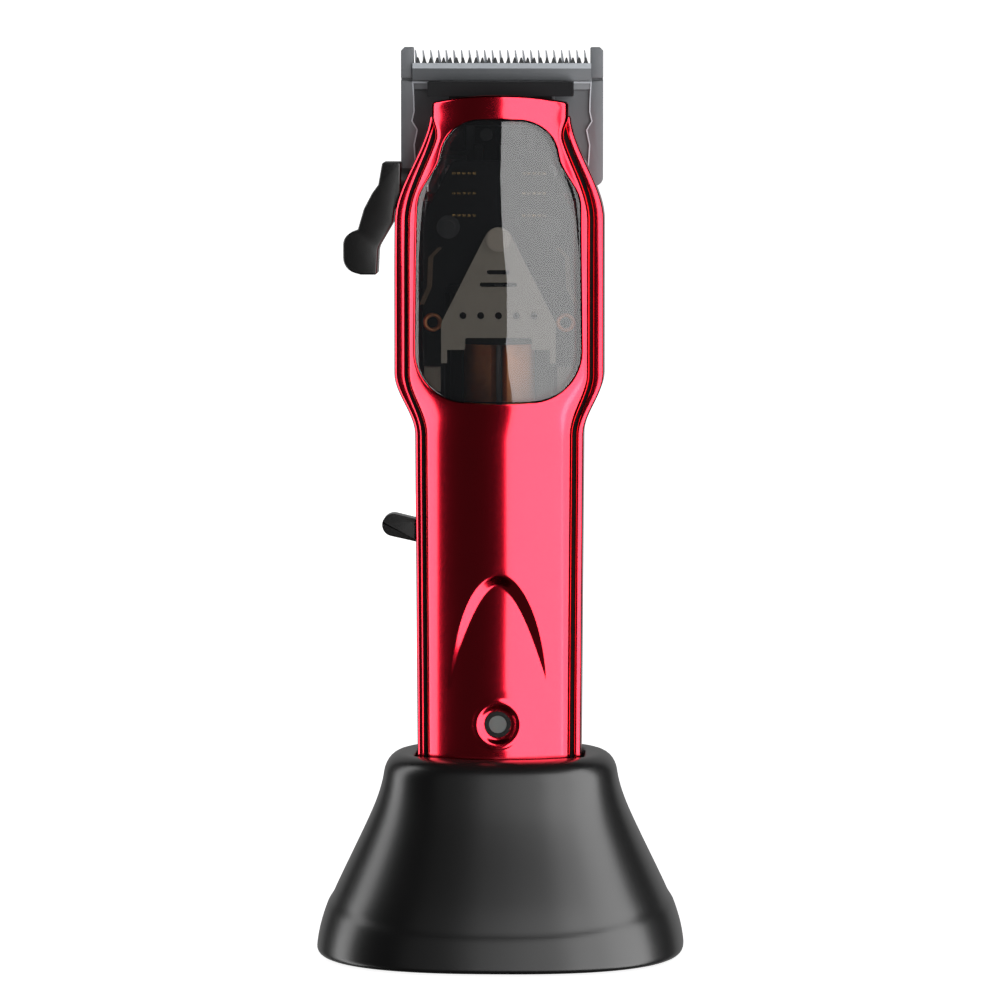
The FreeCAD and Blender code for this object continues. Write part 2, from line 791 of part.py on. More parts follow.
def make_rear_shell():
    """Metal back: thin walls with a lip on both sides, a flat blade seat, and openings on the left."""
    bottom = dim("clipper_bottom") + dim("cap_height")
    top = dim("casing_top") - 1.0
    outside = shell_form(0, 0, 0, bottom, top)
    hollow = shell_form(dim("shell_wall"), dim("shell_back_wall"), 6.0, bottom - 1, top + 1)
    shape = outside.cut(hollow)
    seat_bottom = dim("blade_seat_bottom")
    shelf_block = Part.makeBox(60, 30, dim("seat_shelf_thickness"),
                               Vector(-30, dim("blade_seat"), seat_bottom - dim("seat_shelf_thickness")))
    shape = shape.fuse(outside.common(shelf_block))
    pivot_z = dim("lever_pivot_height")
    left = Vector(-1, 0, 0)
    boss = Part.makeCylinder(dim("lever_hub_radius") + 1.6, 6, Vector(-18.6, 0, pivot_z), left)
    boss_room = Part.makeBox(20, 20, 40, Vector(-30, -4.4, pivot_z - 20))
    shape = shape.fuse(boss.common(outside).common(boss_room))
    seat = Part.makeCylinder(dim("lever_hub_radius") + 0.5, 8, Vector(-dim("lever_seat"), 0, pivot_z), left)
    shaft_hole = Part.makeCylinder(dim("lever_shaft_radius") + dim("lever_shaft_clearance"), 12,
                                   Vector(-15, 0, pivot_z), left)
    blade_room = Part.makeBox(60, 30, 40, Vector(-30, dim("blade_seat"), seat_bottom))
    head_half = dim("head_opening_half_width")
    head_room = Part.makeBox(2 * head_half, 30, 40, Vector(-head_half, 0, dim("head_opening_bottom")))
    toggle_slot = Part.makeBox(8, dim("toggle_width") + 1.0, 8.2,
                               Vector(-23, dim("toggle_pivot_depth") - dim("toggle_width") / 2 - 0.5,
                                      dim("toggle_pivot_height") - 4.1))
    shape = shape.cut([seat, shaft_hole, blade_room, head_room, toggle_slot])
    for z in housing_screw_heights():
        rear = rear_reach(z)
        shape = shape.fuse(Part.makeCylinder(3.6, 5, Vector(0, rear - 5.4, z), Vector(0, 1, 0)))
        shape = shape.cut(Part.makeCylinder(2.4, 3, Vector(0, rear - 1.6, z), Vector(0, 1, 0)))
        shape = shape.cut(Part.makeCylinder(1.1, 8, Vector(0, rear - 6, z), Vector(0, 1, 0)))
    subpart(feature("RearShell", shape), "rear_shell")


def housing_screw_heights():
    """Heights of the two screws in the back: below the battery and above it."""
    return (dim("main_board_bottom") - 0.5, dim("cell_bottom") + dim("cell_height") + 7.4)


def indicator_seat():
    """The dished hollow round the indicator, with the hole for its bezel."""
    height = dim("indicator_height")
    face = -front_reach(height)
    dish = Part.makeCone(dim("dish_radius") + 0.35, dim("bezel_radius") + 0.2, dim("dish_depth") + 0.2,
                         Vector(0, face - 0.2, height), Vector(0, 1, 0))
    hole = Part.makeCylinder(dim("bezel_radius"), 6, Vector(0, face, height), Vector(0, 1, 0))
    return [dish, hole]


def arch_hollow():
    """The arch pressed into the grip: deepest at its apex, running out to nothing at its base."""
    apex = dim("arch_apex")
    base = dim("arch_base")
    wide = dim("arch_half_width")
    outline = [(0, apex, 3.0), (wide * 0.62, apex - 9.0, 16.0), (wide, base + 2.5, 0), (wide, base, 0)]
    wire = Part.Wire([curve.toShape() for curve in rounded_outline(mirrored(outline))])
    wire.rotate(Vector(), Vector(1, 0, 0), 90)
    prism = Part.Face(wire).extrude(Vector(0, -30, 0))
    radius = face_radius(base)
    tilt = math.atan2(dim("arch_depth"), apex - 6.0 - base)
    foot = Vector(0, radius - front_reach(base), base)
    floor = Part.makeCylinder(radius, 60, foot - Vector(0, math.sin(tilt), math.cos(tilt)) * 20,
                              Vector(0, math.sin(tilt), math.cos(tilt)))
    return prism.cut(floor)


def make_front_cover():
    """Metal front: a thin convex shell with the window opening, the arch and the indicator's dish."""
    bottom = dim("clipper_bottom") + dim("cap_height")
    top = dim("casing_top")
    skin = front_form(0, bottom, top).cut(front_form(dim("cover_wall"), bottom - 1, top + 1))
    shape = skin.cut([window_prism(), arch_hollow()] + indicator_seat())
    subpart(feature("FrontCover", shape), "front_cover")
    pane = front_form(0, dim("neck_start"), top).cut(front_form(dim("lens_thickness"),
                                                                dim("neck_start") - 1, top + 1))
    subpart(feature("WindowLens", pane.common(window_prism(dim("window_gap")))), "window_lens")


def make_seam_strips():
    """Dark strips at the bottom of the groove between the two halves of the casing."""
    strips = []
    for side in (-1, 1):
        wires = []
        for z in casing_heights(dim("clipper_bottom") + dim("cap_height"), dim("casing_top") - 1.0):
            near = side * (cover_half_width(z) + 0.06)
            far = side * (half_width(z) - dim("shell_wall") - 0.1)
            front = lip_depth(z) + dim("seam_depth")
            rear = front + dim("seam_strip_thickness")
            corners = [Vector(near, front, z), Vector(far, front, z), Vector(far, rear, z),
                       Vector(near, rear, z), Vector(near, front, z)]
            wires.append(Part.makePolygon(corners))
        strips.append(feature("SeamStrip%d" % len(strips), loft(wires)))
    subpart(group("SeamStrips", strips), "seam_strips")


def make_bottom_cap():
    """Plastic cap that closes the foot of the clipper, with a plug inside and two charging contacts."""
    bottom = dim("clipper_bottom")
    high = dim("cap_height")
    cap = clipper_oval(-0.15, bottom, bottom + high)
    cap = cap.fuse(clipper_oval(-dim("cap_plug_inset"), bottom + high, bottom + 2 * high))
    for side in (-1, 1):
        cap = cap.cut(Part.makeCylinder(2.2, 1.0, Vector(side * dim("pin_spread"), 0, bottom)))
    subpart(feature("BottomCap", cap), "bottom_cap")
    pads = [cylinder("ContactPad%d" % index, 2.2, 1.0, ("%d * pin_spread" % side, 0, "clipper_bottom"))
            for index, side in enumerate((-1, 1))]
    subpart(group("ChargingContacts", pads), "charging_contacts")


def make_housing_screws():
    """Screws that hold the back to the front: below and above the battery."""
    screws = []
    for index, height in enumerate(housing_screw_heights()):
        rear = rear_reach(height)
        head = cylinder("HousingScrewHead%d" % index, 2.3, 1.2, (0, rear - 1.6, height), "Y")
        shank = cylinder("HousingScrewShank%d" % index, 1.0, 11, (0, rear - 12.6, height), "Y")
        screws.append(fuse("HousingScrew%d" % index, head, shank))
    subpart(group("HousingScrews", screws), "housing_screws")


def make_indicator():
    """Black bezel with a round light in it, in the dish of the front cover."""
    face = -front_reach(dim("indicator_height"))
    seat = face + dim("dish_depth")
    outer = cylinder("BezelOuter", "bezel_radius", 2.6, (0, seat - 0.35, "indicator_height"), "Y")
    inner = cylinder("BezelInner", "indicator_radius", 4, (0, seat - 1, "indicator_height"), "Y")
    subpart(cut("IndicatorBezel", outer, inner), "indicator_bezel")
    light = cylinder("IndicatorLight", "indicator_radius", 2.2, (0, seat - 0.2, "indicator_height"), "Y")
    subpart(light, "indicator_lens")


# ---------------------------------------------------------------- inside the clipper

def make_chassis():
    """Black frame behind the window: legs beside the motor, a plate above it, and side walls."""
    half = dim("chassis_half_width")
    low = dim("chassis_bottom")
    outline = [(half, low, 1.5), (half, 168.0, 2.0), (10.5, 181.0, 2.0)]
    gap_half = dim("motor_radius") + 0.8
    motor_gap = [(gap_half, low - 4, 0), (gap_half, 153.0, 1.5)]
    plate = padded_body("ChassisPlate", "XZ_Plane", [mirrored(outline)], "chassis_thickness",
                        (0, "chassis_rear", 0))
    pocket(plate, "MotorGap", "XZ_Plane", [mirrored(motor_gap)], "chassis_thickness + 1")
    bolt_hole = cylinder("BadgeBoltHole", "badge_bolt_radius", "2 * chassis_thickness",
                         (0, "chassis_rear - 1.5 * chassis_thickness", "badge_bolt_height"), "Y")
    walls = []
    for index, (low_x, high_x) in enumerate((("-chassis_half_width", "1.2 - chassis_half_width"),
                                             ("chassis_half_width - 1.2", "chassis_half_width"))):
        walls.append(block_between("ChassisWall%d" % index, (low_x, high_x),
                                   ("chassis_rear - 0.5", 4), ("chassis_bottom + 1.5", 166)))
    drilled = cut("ChassisDrilled", plate, bolt_hole)
    subpart(fuse("ChassisFrame", drilled, *walls), "inner_chassis")


def make_chassis_fittings():
    """Header pins, screws, coil rings, contact springs and blocks on the front of the chassis."""
    front = "chassis_rear - chassis_thickness"
    pins = []
    for height in (168.4, 173.4, 177.9):
        for side in (-1, 1):
            for step in range(5):
                x = side * (5.6 + 1.15 * step) - 0.35
                pins.append(box("HeaderPin%d" % len(pins), 0.7, 0.5, 0.5, (x, front + " - 0.5", height)))
    subpart(group("HeaderPins", pins), "header_pins")

    screws = []
    for index, side in enumerate((-1, 1)):
        at = (side * 11.5, front, 166.0)
        washer = cylinder("ChassisWasher%d" % index, 2.6, 0.5, at, "-Y")
        head = cylinder("ChassisScrewHead%d" % index, 1.6, 1.5, at, "-Y")
        screws.append(fuse("ChassisScrew%d" % index, washer, head))
    subpart(group("ChassisScrews", screws), "chassis_screws")

    rings = []
    arms = []
    blocks = []
    for index, side in enumerate((-1, 1)):
        ring = doc.addObject("Part::Torus", "CoilRing%d" % index)
        ring.Placement = FreeCAD.Placement(Vector(), AXIS_TURNS["Y"])
        rings.append(place(bind(ring, Radius1=1.7, Radius2=0.5), (side * 15.0, front + " - 0.5", 144.5)))
        arms.append(contact_arm(index, side))
        low, high = sorted((side * 13.2, side * 16.8))
        blocks.append(block_between("SideBlock%d" % index, (low, high), (front + " - 2.2", front),
                                    (129.0, 134.5)))
    subpart(group("CoilRings", rings), "coil_rings")
    subpart(group("ContactArms", arms), "contact_arms")
    subpart(group("SideBlocks", blocks), "side_blocks")


def contact_arm(index, side):
    """Bent brass strip on the chassis beside the badge plate."""
    middle_line = [(13.3, 161.4), (15.4, 159.2), (15.7, 152.5), (17.5, 148.5)]
    half = 0.55
    outer = [(side * (x + half), z, 0.15) for x, z in middle_line]
    inner = [(side * (x - half), z, 0.15) for x, z in reversed(middle_line)]
    return padded_body("ContactArm%d" % index, "XZ_Plane", [outer + inner], 0.8,
                       (0, "chassis_rear - chassis_thickness", 0))


def make_badge():
    """Pointed steel plate in front of the motor with plain slots and holes, and the bolt that holds it."""
    side = 12.9
    outline = [(0, 170.0, 3.2), (side, 144.6, 1.5), (side, 135.5, 0), (side - 1.3, 135.5, 0),
               (side - 1.3, 138.5, 0), (7.5, 138.5, 0.4), (7.5, 141.2, 0.4)]
    slots = [rectangle(-half, half, z - 0.5, z + 0.5, 0.49) for half, z in ((2.6, 156.0), (4.2, 153.2))]
    radius = 0.8
    holes = [rectangle(x - radius, x + radius, 146.2 - radius, 146.2 + radius, radius - 0.01)
             for x in (-8, -4, 0, 4, 8)]
    bolt_z = dim("badge_bolt_height")
    bolt_half = dim("badge_bolt_radius")
    holes.append(rectangle(-bolt_half, bolt_half, bolt_z - bolt_half, bolt_z + bolt_half, bolt_half - 0.01))
    plate = padded_body("BadgePlate", "XZ_Plane", [mirrored(outline)] + slots + holes,
                        "badge_thickness", (0, "badge_rear", 0))
    subpart(plate, "badge_plate")
    height = "badge_bolt_height"
    head = cylinder("BadgeBoltHead", 2.7, 1.0, (0, "badge_rear - badge_thickness", height), "-Y")
    stem = cylinder("BadgeBoltStem", "badge_bolt_radius", "chassis_rear - badge_rear + badge_thickness",
                    (0, "badge_rear - badge_thickness", height), "Y")
    collar = cylinder("BadgeBoltCollar", 2.2, "chassis_rear - chassis_thickness - badge_rear",
                      (0, "badge_rear", height), "Y")
    subpart(fuse("BadgeBolt", head, stem, collar), "badge_bolt")


def motor_cylinder(name, radius, height, bottom, shift=0):
    """A round piece on the motor's axis, or beside it by a shift."""
    return cylinder(name, radius, height, (shift, "motor_axis_depth", bottom))


def make_motor():
    """Motor: a can with a front opening and end plates, six copper coils, bearings, rotor and crank."""
    outer = motor_cylinder("CanOuter", "motor_radius", "motor_height", "motor_bottom")
    inner = motor_cylinder("CanInner", "motor_radius - motor_wall", "motor_height - 2 * motor_end_plate",
                           "motor_bottom + motor_end_plate")
    seat_hole = motor_cylinder("CanSeatHole", "bearing_radius", "motor_height + 2", "motor_bottom - 1")
    opening = block_between("CanOpening", (-8, 8), ("-motor_radius - 2", -5), (126.5, 139.5))
    subpart(cut("MotorCan", outer, fuse("CanSpace", inner, seat_hole, opening)), "motor_can")

    coils = []
    for index in range(6):
        turn = FreeCAD.Rotation(Vector(0, 0, 1), 60 * index)
        coil = doc.addObject("Part::Box", "Coil%d" % index)
        bind(coil, Length="coil_depth", Width="coil_width", Height="coil_height")
        corner = turn.multVec(Vector(dim("coil_radius") - dim("coil_depth") / 2, -dim("coil_width") / 2, 0))
        coil.Placement = FreeCAD.Placement(corner + Vector(0, dim("motor_axis_depth"), 125.5), turn)
        coils.append(coil)
    subpart(group("MotorWindings", coils), "motor_windings")

    bearings = []
    for index, bottom in enumerate(("motor_bottom - 0.8", "motor_bottom + motor_height - 1.7")):
        ring = motor_cylinder("BearingRing%d" % index, "bearing_radius", "bearing_height", bottom)
        bore = motor_cylinder("BearingBore%d" % index, "shaft_radius + bearing_clearance", 6,
                              bottom + " - 1")
        bearings.append(cut("Bearing%d" % index, ring, bore))
    subpart(group("MotorBearings", bearings), "motor_bearings")

    mount = block_between("MountPlate", (-15, 15), ("chassis_rear", 11),
                          ("motor_bottom + motor_height", "motor_bottom + motor_height + 1.5"))
    mount_hole = motor_cylinder("MountHole", 4.6, 4, "motor_bottom + motor_height - 1")
    subpart(cut("MotorMount", mount, mount_hole), "motor_mount")

    shaft = motor_cylinder("MotorShaft", "shaft_radius", "shaft_top - shaft_bottom", "shaft_bottom")
    subpart(shaft, "motor_shaft")
    core = motor_cylinder("CoreOuter", "rotor_radius", "rotor_height", "motor_bottom + 4.5")
    core_bore = motor_cylinder("CoreBore", "shaft_radius", "rotor_height + 2", "motor_bottom + 3.5")
    subpart(cut("RotorCore", core, core_bore), "rotor_core")
    hub = motor_cylinder("CamHub", "cam_radius", "shaft_top - cam_bottom + 0.8", "cam_bottom")
    hub_bore = motor_cylinder("CamBore", "shaft_radius", "shaft_top - cam_bottom + 0.02",
                              "cam_bottom - 0.01")
    pin = motor_cylinder("CrankPin", "crank_radius", "crank_height", "shaft_top + 0.4", "crank_offset")
    subpart(fuse("CrankCam", cut("CamRing", hub, hub_bore), pin), "crank_cam")


def make_battery():
    """Round cell in a cradle, with a metal tab on each end."""
    axis = (0, "cell_axis_depth")
    subpart(cylinder("BatteryCell", "cell_radius", "cell_height", axis + ("cell_bottom",)), "battery_cell")
    tabs = []
    ends = []
    for index, (tab, end) in enumerate((("cell_bottom - 0.3", "cell_bottom - 2.3"),
                                        ("cell_bottom + cell_height", "cell_bottom + cell_height + 0.3"))):
        tabs.append(block_between("CellTab%d" % index, (-3.5, 3.5),
                                  ("cell_axis_depth - 8.5", "cell_axis_depth + 5"), (tab, tab + " + 0.3")))
        ends.append(cylinder("CradleEnd%d" % index, 11.2, 2.0, axis + (end,)))
    rails = []
    for index, (low, high) in enumerate(((-11.1, -9.4), (9.4, 11.1))):
        rails.append(block_between("CradleRail%d" % index, (low, high),
                                   ("cell_axis_depth - 1.2", "cell_axis_depth + 1.2"),
                                   ("cell_bottom - 2.3", "cell_bottom + cell_height + 2.3")))
    subpart(group("BatteryTabs", tabs), "battery_tabs")
    subpart(fuse("BatteryCradle", *(ends + rails)), "battery_cradle")


def make_main_board():
    """Main board in front of the battery with its chips, coil and light."""
    half = dim("main_board_half_width")
    low = dim("main_board_bottom")
    outline = rectangle(-half, half, low, low + dim("main_board_height"), 1.5)
    board = padded_body("MainBoard", "XZ_Plane", [outline], "main_board_thickness",
                        (0, "main_board_rear", 0))
    subpart(board, "main_board")
    chips = []
    for x, z, wide, high, thick in ((-6, 70, 6, 6, 1.0), (4, 74, 4, 5, 0.8), (4, 84, 5, 4, 0.8),
                                    (-5, 92, 4, 4, 1.4), (6, 98, 2, 4, 0.8), (-7, 104, 3, 5, 1.2),
                                    (0, 53.9, 2, 2, 0.7), (-8, 44, 3, 3, 1.2), (7, 42, 4, 6, 1.4)):
        chips.append(block_between("Chip%d" % len(chips), (x - wide / 2, x + wide / 2),
                                   ("main_board_rear - main_board_thickness - %s" % thick,
                                    "main_board_rear - main_board_thickness"),
                                   (z - high / 2, z + high / 2)))
    subpart(group("BoardComponents", chips), "board_components")


def make_head_block():
    """Black block at the top that the blades run on: a cap above the casing and a foot inside it."""
    cap = block_between("HeadCap", (-16.4, 16.4), (-4, 4.9), (195.3, 198.5))
    foot = block_between("HeadFoot", (-11.6, 11.6), (-3.0, 4.9), (183, 195.4))
    space = block_between("HeadSpace", (-8, 8), (-4.0, 5.5), (182, 188.8))
    subpart(cut("HeadBlock", fuse("HeadSolid", cap, foot), space), "head_block")


# ---------------------------------------------------------------- blades and drive

def teeth_gaps(half_span, pitch, gap, root, tip):
    """How many gaps fit across a blade, and the outline of the first one."""
    count = int(2 * half_span / pitch)
    first = -pitch * (count - 1) / 2
    return count, rectangle(first - gap / 2, first + gap / 2, root, tip + 2)


def toothed_plate(name, outline, thickness, rear, gap_outline, pitch, count):
    """A blade: a padded outline with a row of gaps cut between its teeth."""
    body = padded_body(name, "XZ_Plane", [outline], thickness, (0, rear, 0))
    gap = pocket(body, name + "Gap", "XZ_Plane", [gap_outline], thickness + " + 1")
    repeated(body, gap, "X_Axis", "%s * %d" % (pitch, count - 1), count)
    return body


def make_comb():
    """Lower blade with fine teeth and two side posts, the carrier that the taper lever moves, its screws."""
    side = dim("blade_half_width")
    inner = side - dim("comb_post_width")
    post_top = dim("comb_post_top")
    outline = [(side, dim("comb_bottom"), 1.8), (side, post_top, 0.5), (inner, post_top, 0),
               (inner, dim("comb_tip"), 0)]
    count, gap = teeth_gaps(inner - 0.4, dim("comb_pitch"), dim("comb_slot"), dim("comb_shoulder"), post_top)
    blade = toothed_plate("CombBlade", mirrored(outline), "comb_thickness",
                          "comb_front + comb_thickness", gap, "comb_pitch", count)
    recess = block_between("CombRecess", (-13.6, 13.6), ("comb_front - 1", "comb_front + 0.8"), (183, 195))
    holes = [cylinder("CombScrewHole%d" % index, 1.5, 6, (side_sign * 11.5, "comb_front - 1", 178.2), "Y")
             for index, side_sign in enumerate((-1, 1))]
    subpart(cut("CombPlate", blade, fuse("CombCuts", recess, *holes)), "comb_blade")

    plate = block_between("CarrierPlate", (-15, 15), ("comb_front - 2", "comb_front"), (175, 181.5))
    gap_for_yoke = block_between("CarrierGap", (-8, 8), ("comb_front - 3", "comb_front + 1"), (178.2, 183))
    bosses = [cylinder("CarrierBoss%d" % index, 2.6, 3.6, (side_sign * 11.5, "comb_front - 5.4", 178.2), "Y")
              for index, side_sign in enumerate((-1, 1))]
    pin_turn = math.radians(dim("taper_start_angle"))
    pin_y = dim("taper_offset") * math.cos(pin_turn)
    pin_z = dim("lever_pivot_height") + dim("taper_offset") * math.sin(pin_turn)
    radius = dim("taper_pin_radius")
    arm = block_between("FollowerArm", (-16.4, -14.2), (-1.2, 5.6), (pin_z - 3.2, pin_z + 3.2))
    tie = block_between("FollowerTie", (-16.0, -14.0), ("comb_front - 2", "comb_front"),
                        (pin_z - 1.8, pin_z + 3.2))
    slot = block_between("FollowerSlot", (-18, -14), (pin_y - radius - 0.7, pin_y + radius + 0.7),
                         (pin_z - radius - 0.06, pin_z + radius + 0.06))
    carrier = fuse("CarrierSolid", cut("CarrierNotched", plate, gap_for_yoke), *bosses, arm, tie)
    threads = [cylinder("CarrierThread%d" % index, 1.4, 7, (side_sign * 11.5, "comb_front - 6", 178.2), "Y")
               for index, side_sign in enumerate((-1, 1))]
    subpart(cut("BladeCarrier", carrier, fuse("CarrierCuts", slot, *threads)), "blade_carrier")

    screws = []
    for index, side_sign in enumerate((-1, 1)):
        at = (side_sign * 11.5, "comb_front + comb_thickness", 178.2)
        head = cylinder("BladeScrewHead%d" % index, 2.8, 1.3, at, "Y")
        shank = cylinder("BladeScrewShank%d" % index, 1.4, 6.5, at, "-Y")
        screws.append(fuse("BladeScrew%d" % index, head, shank))
    subpart(group("BladeScrews", screws), "blade_screws")


def make_cutter():
    """Moving upper blade, the yoke that the crank drives, and the screws between them."""
    side = dim("cutter_half_width")
    outline = [(12.0, 183.0, 2.0), (12.0, 196.0, 0), (15.0, dim("cutter_bar_bottom"), 0),
               (side, dim("cutter_bar_bottom"), 0.4), (side, dim("cutter_tip"), 0.3)]
    count, gap = teeth_gaps(side - 0.5, dim("cutter_pitch"), dim("cutter_slot"), dim("cutter_root"),
                            dim("cutter_tip"))
    blade = toothed_plate("CutterBlade", mirrored(outline), "cutter_thickness",
                          "cutter_front + cutter_thickness", gap, "cutter_pitch", count)
    holes = [cylinder("YokeThread%d" % index, 0.8, 4, (side_sign * 3.4, 3, 186.4), "Y")
             for index, side_sign in enumerate((-1, 1))]
    subpart(cut("CutterPlate", blade, group("YokeThreads", holes)), "cutter_blade")

    inside = "yoke_slot_half_width"
    outside = "yoke_slot_half_width + yoke_arm"
    arms = [block_between("YokeArm%d" % index, xs, (-3.0, "cutter_front"), (179.2, 184.4))
            for index, xs in enumerate((("-(%s)" % outside, "-" + inside), (inside, outside)))]
    bridge = block_between("YokeBridge", ("-(%s)" % outside, outside), (3.5, "cutter_front"),
                           (179.2, 188.2))
    holes = [cylinder("YokeHole%d" % index, 0.8, 4, (side_sign * 3.4, 3, 186.4), "Y")
             for index, side_sign in enumerate((-1, 1))]
    subpart(cut("DriveYoke", fuse("YokeSolid", bridge, *arms), group("YokeHoles", holes)), "drive_yoke")
    screws = []
    for index, side_sign in enumerate((-1, 1)):
        at = (side_sign * 3.4, 3.5, 186.4)
        head = cylinder("YokeScrewHead%d" % index, 1.4, 0.9, at, "-Y")
        shank = cylinder("YokeScrewShank%d" % index, 0.8, 2.8, at, "Y")
        screws.append(fuse("YokeScrew%d" % index, head, shank))
    subpart(group("YokeScrews", screws), "yoke_screws")


# ---------------------------------------------------------------- levers

def make_taper_lever():
    """Curved thumb lever on a hub at the left of the head, its shaft with an eccentric pin, its screw."""
    arm_outline = [(-25.9, 180.0, 0.6), (-25.9, 177.5, 0), (-28.0, 173.8, 3.0), (-30.6, 170.4, 4.0),
                   (-32.3, 165.2, 1.0), (-35.6, 163.4, 2.6), (-35.6, 156.4, 3.4), (-31.6, 155.8, 0.6),
                   (-27.9, 155.8, 0.6), (-27.4, 161.0, 4.0), (-25.2, 167.2, 6.0), (-23.9, 170.0, 1.0),
                   (-23.9, 180.0, 0.6)]
    arm = padded_body("LeverArm", "XZ_Plane", [arm_outline], "lever_arm_depth",
                      (0, "lever_arm_depth / 2", 0))
    hub = cylinder("LeverHub", "lever_hub_radius", "lever_hub_outer - lever_seat - lever_gap",
                   ("-lever_hub_outer", 0, "lever_pivot_height"), "X")
    shank_hole = cylinder("LeverShankHole", "lever_screw_radius", 8,
                          ("-lever_hub_outer - 1", 0, "lever_pivot_height"), "X")
    head_hole = cylinder("LeverHeadHole", "lever_screw_head_radius + 0.2", 6,
                         ("-lever_hub_outer - 6", 0, "lever_pivot_height"), "X")
    holes = fuse("LeverHoles", shank_hole, head_hole)
    subpart(cut("TaperLever", fuse("LeverSolid", arm, hub), holes), "taper_lever")

    shaft = cylinder("LeverShaftBar", "lever_shaft_radius", "lever_seat + lever_gap - 18",
                     ("-lever_seat - lever_gap", 0, "lever_pivot_height"), "X")
    turn = "taper_start_angle"
    pin = cylinder("TaperPin", "taper_pin_radius", 3.8,
                   (-18.2, "taper_offset * cos(%s * 1deg)" % turn,
                    "lever_pivot_height + taper_offset * sin(%s * 1deg)" % turn), "X")
    thread = cylinder("LeverThread", "lever_screw_radius", 3, ("-lever_seat - lever_gap - 0.1", 0,
                                                               "lever_pivot_height"), "X")
    subpart(cut("LeverShaft", fuse("LeverShaftSolid", shaft, pin), thread), "lever_shaft")
    head = cylinder("LeverScrewHead", "lever_screw_head_radius", 0.9,
                    ("-lever_hub_outer - 0.9", 0, "lever_pivot_height"), "X")
    shank = cylinder("LeverScrewShank", "lever_screw_radius", 6, ("-lever_hub_outer", 0,
                                                                  "lever_pivot_height"), "X")
    subpart(fuse("LeverScrew", head, shank), "lever_screw")


def make_power_toggle():
    """Rounded power toggle that tilts in a slot on the left of the grip, its pin and its switch."""
    out = dim("toggle_pivot_out")
    deep = dim("toggle_pivot_depth")
    high = dim("toggle_pivot_height")
    reach = dim("toggle_length")
    front = deep - dim("toggle_width") / 2
    body = Part.makeBox(reach, dim("toggle_width"), 2 * dim("toggle_tip_radius"),
                        Vector(0, 0, -dim("toggle_tip_radius")))
    tip = Part.makeCylinder(dim("toggle_tip_radius"), dim("toggle_width"), Vector(reach, 0, 0),
                            Vector(0, 1, 0))
    hub = Part.makeCylinder(dim("toggle_tip_radius") - 0.5, dim("toggle_width"), Vector(), Vector(0, 1, 0))
    bore = Part.makeCylinder(dim("toggle_pin_radius") + 0.06, dim("toggle_width"), Vector(),
                             Vector(0, 1, 0))
    bar = body.cut(Part.makeBox(2.2, 10, 10, Vector(-0.1, -1, -5))).fuse(tip)
    neck = Part.makeBox(2.4, dim("toggle_width"), 3.6, Vector(0, 0, -1.8))
    shape = bar.fuse([hub, neck]).cut(bore)
    turned = FreeCAD.Rotation(Vector(0, 1, 0), 180 + dim("toggle_tilt"))
    placement = FreeCAD.Placement(Vector(-out, front, high), turned)
    subpart(feature("PowerToggle", shape, placement), "power_toggle")

    pin = cylinder("TogglePin", "toggle_pin_radius", "toggle_width + 2.4",
                   ("-toggle_pivot_out", "toggle_pivot_depth - toggle_width / 2 - 1.2",
                    "toggle_pivot_height"), "Y")
    subpart(pin, "toggle_pin")
    rear = "toggle_pivot_depth + toggle_width / 2"
    near = "toggle_pivot_depth - toggle_width / 2"
    level = "toggle_pivot_height"
    case = block_between("SwitchCase", (-13.0, -9.6), (near + " - 1.3", rear + " + 1.3"),
                         (level + " - 6.5", level + " + 6.5"))
    lugs = [block_between("SwitchLug%d" % index, (-17.0, -12.9), ys, (level + " - 2.1", level + " + 2.1"))
            for index, ys in enumerate(((near + " - 1.3", near + " - 0.2"), (rear + " + 0.2", rear + " + 1.3")))]
    bore = cylinder("SwitchPinHole", "toggle_pin_radius", "toggle_width + 4",
                    ("-toggle_pivot_out", near + " - 2", "toggle_pivot_height"), "Y")
    subpart(cut("SwitchModule", fuse("SwitchSolid", case, *lugs), bore), "switch_module")


# ---------------------------------------------------------------- build, check and write

def make_everything():
    """Every sub-part, from the stand upwards."""
    for section in (make_stand_shell, make_dock_cup, make_stand_floor, make_stand_electronics,
                    make_rear_shell, make_front_cover, make_seam_strips, make_bottom_cap,
                    make_housing_screws, make_indicator, make_chassis, make_chassis_fittings,
                    make_badge, make_motor, make_battery, make_main_board, make_head_block,
                    make_comb, make_cutter, make_taper_lever, make_power_toggle):
        section()


def check_document():
    """Stop if any object failed or any sub-part has no sound shape."""
    for obj in doc.Objects:
        if "Invalid" in obj.State or "Error" in obj.State:
            raise ValueError("%s is %s" % (obj.Name, obj.State))
    for obj in subparts:
        if obj.Shape.isNull() or not obj.Shape.isValid():
            raise ValueError("%s has no sound shape" % obj.Label)


def write_parts():
    """One STEP file for each sub-part, named after it."""
    os.makedirs("parts", exist_ok=True)
    for obj in subparts:
        obj.Shape.exportStep("parts/%s.step" % obj.Label)


make_everything()
doc.recompute()
check_document()
write_parts()
print(len(subparts), "sub-parts written")
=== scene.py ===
import json
import math

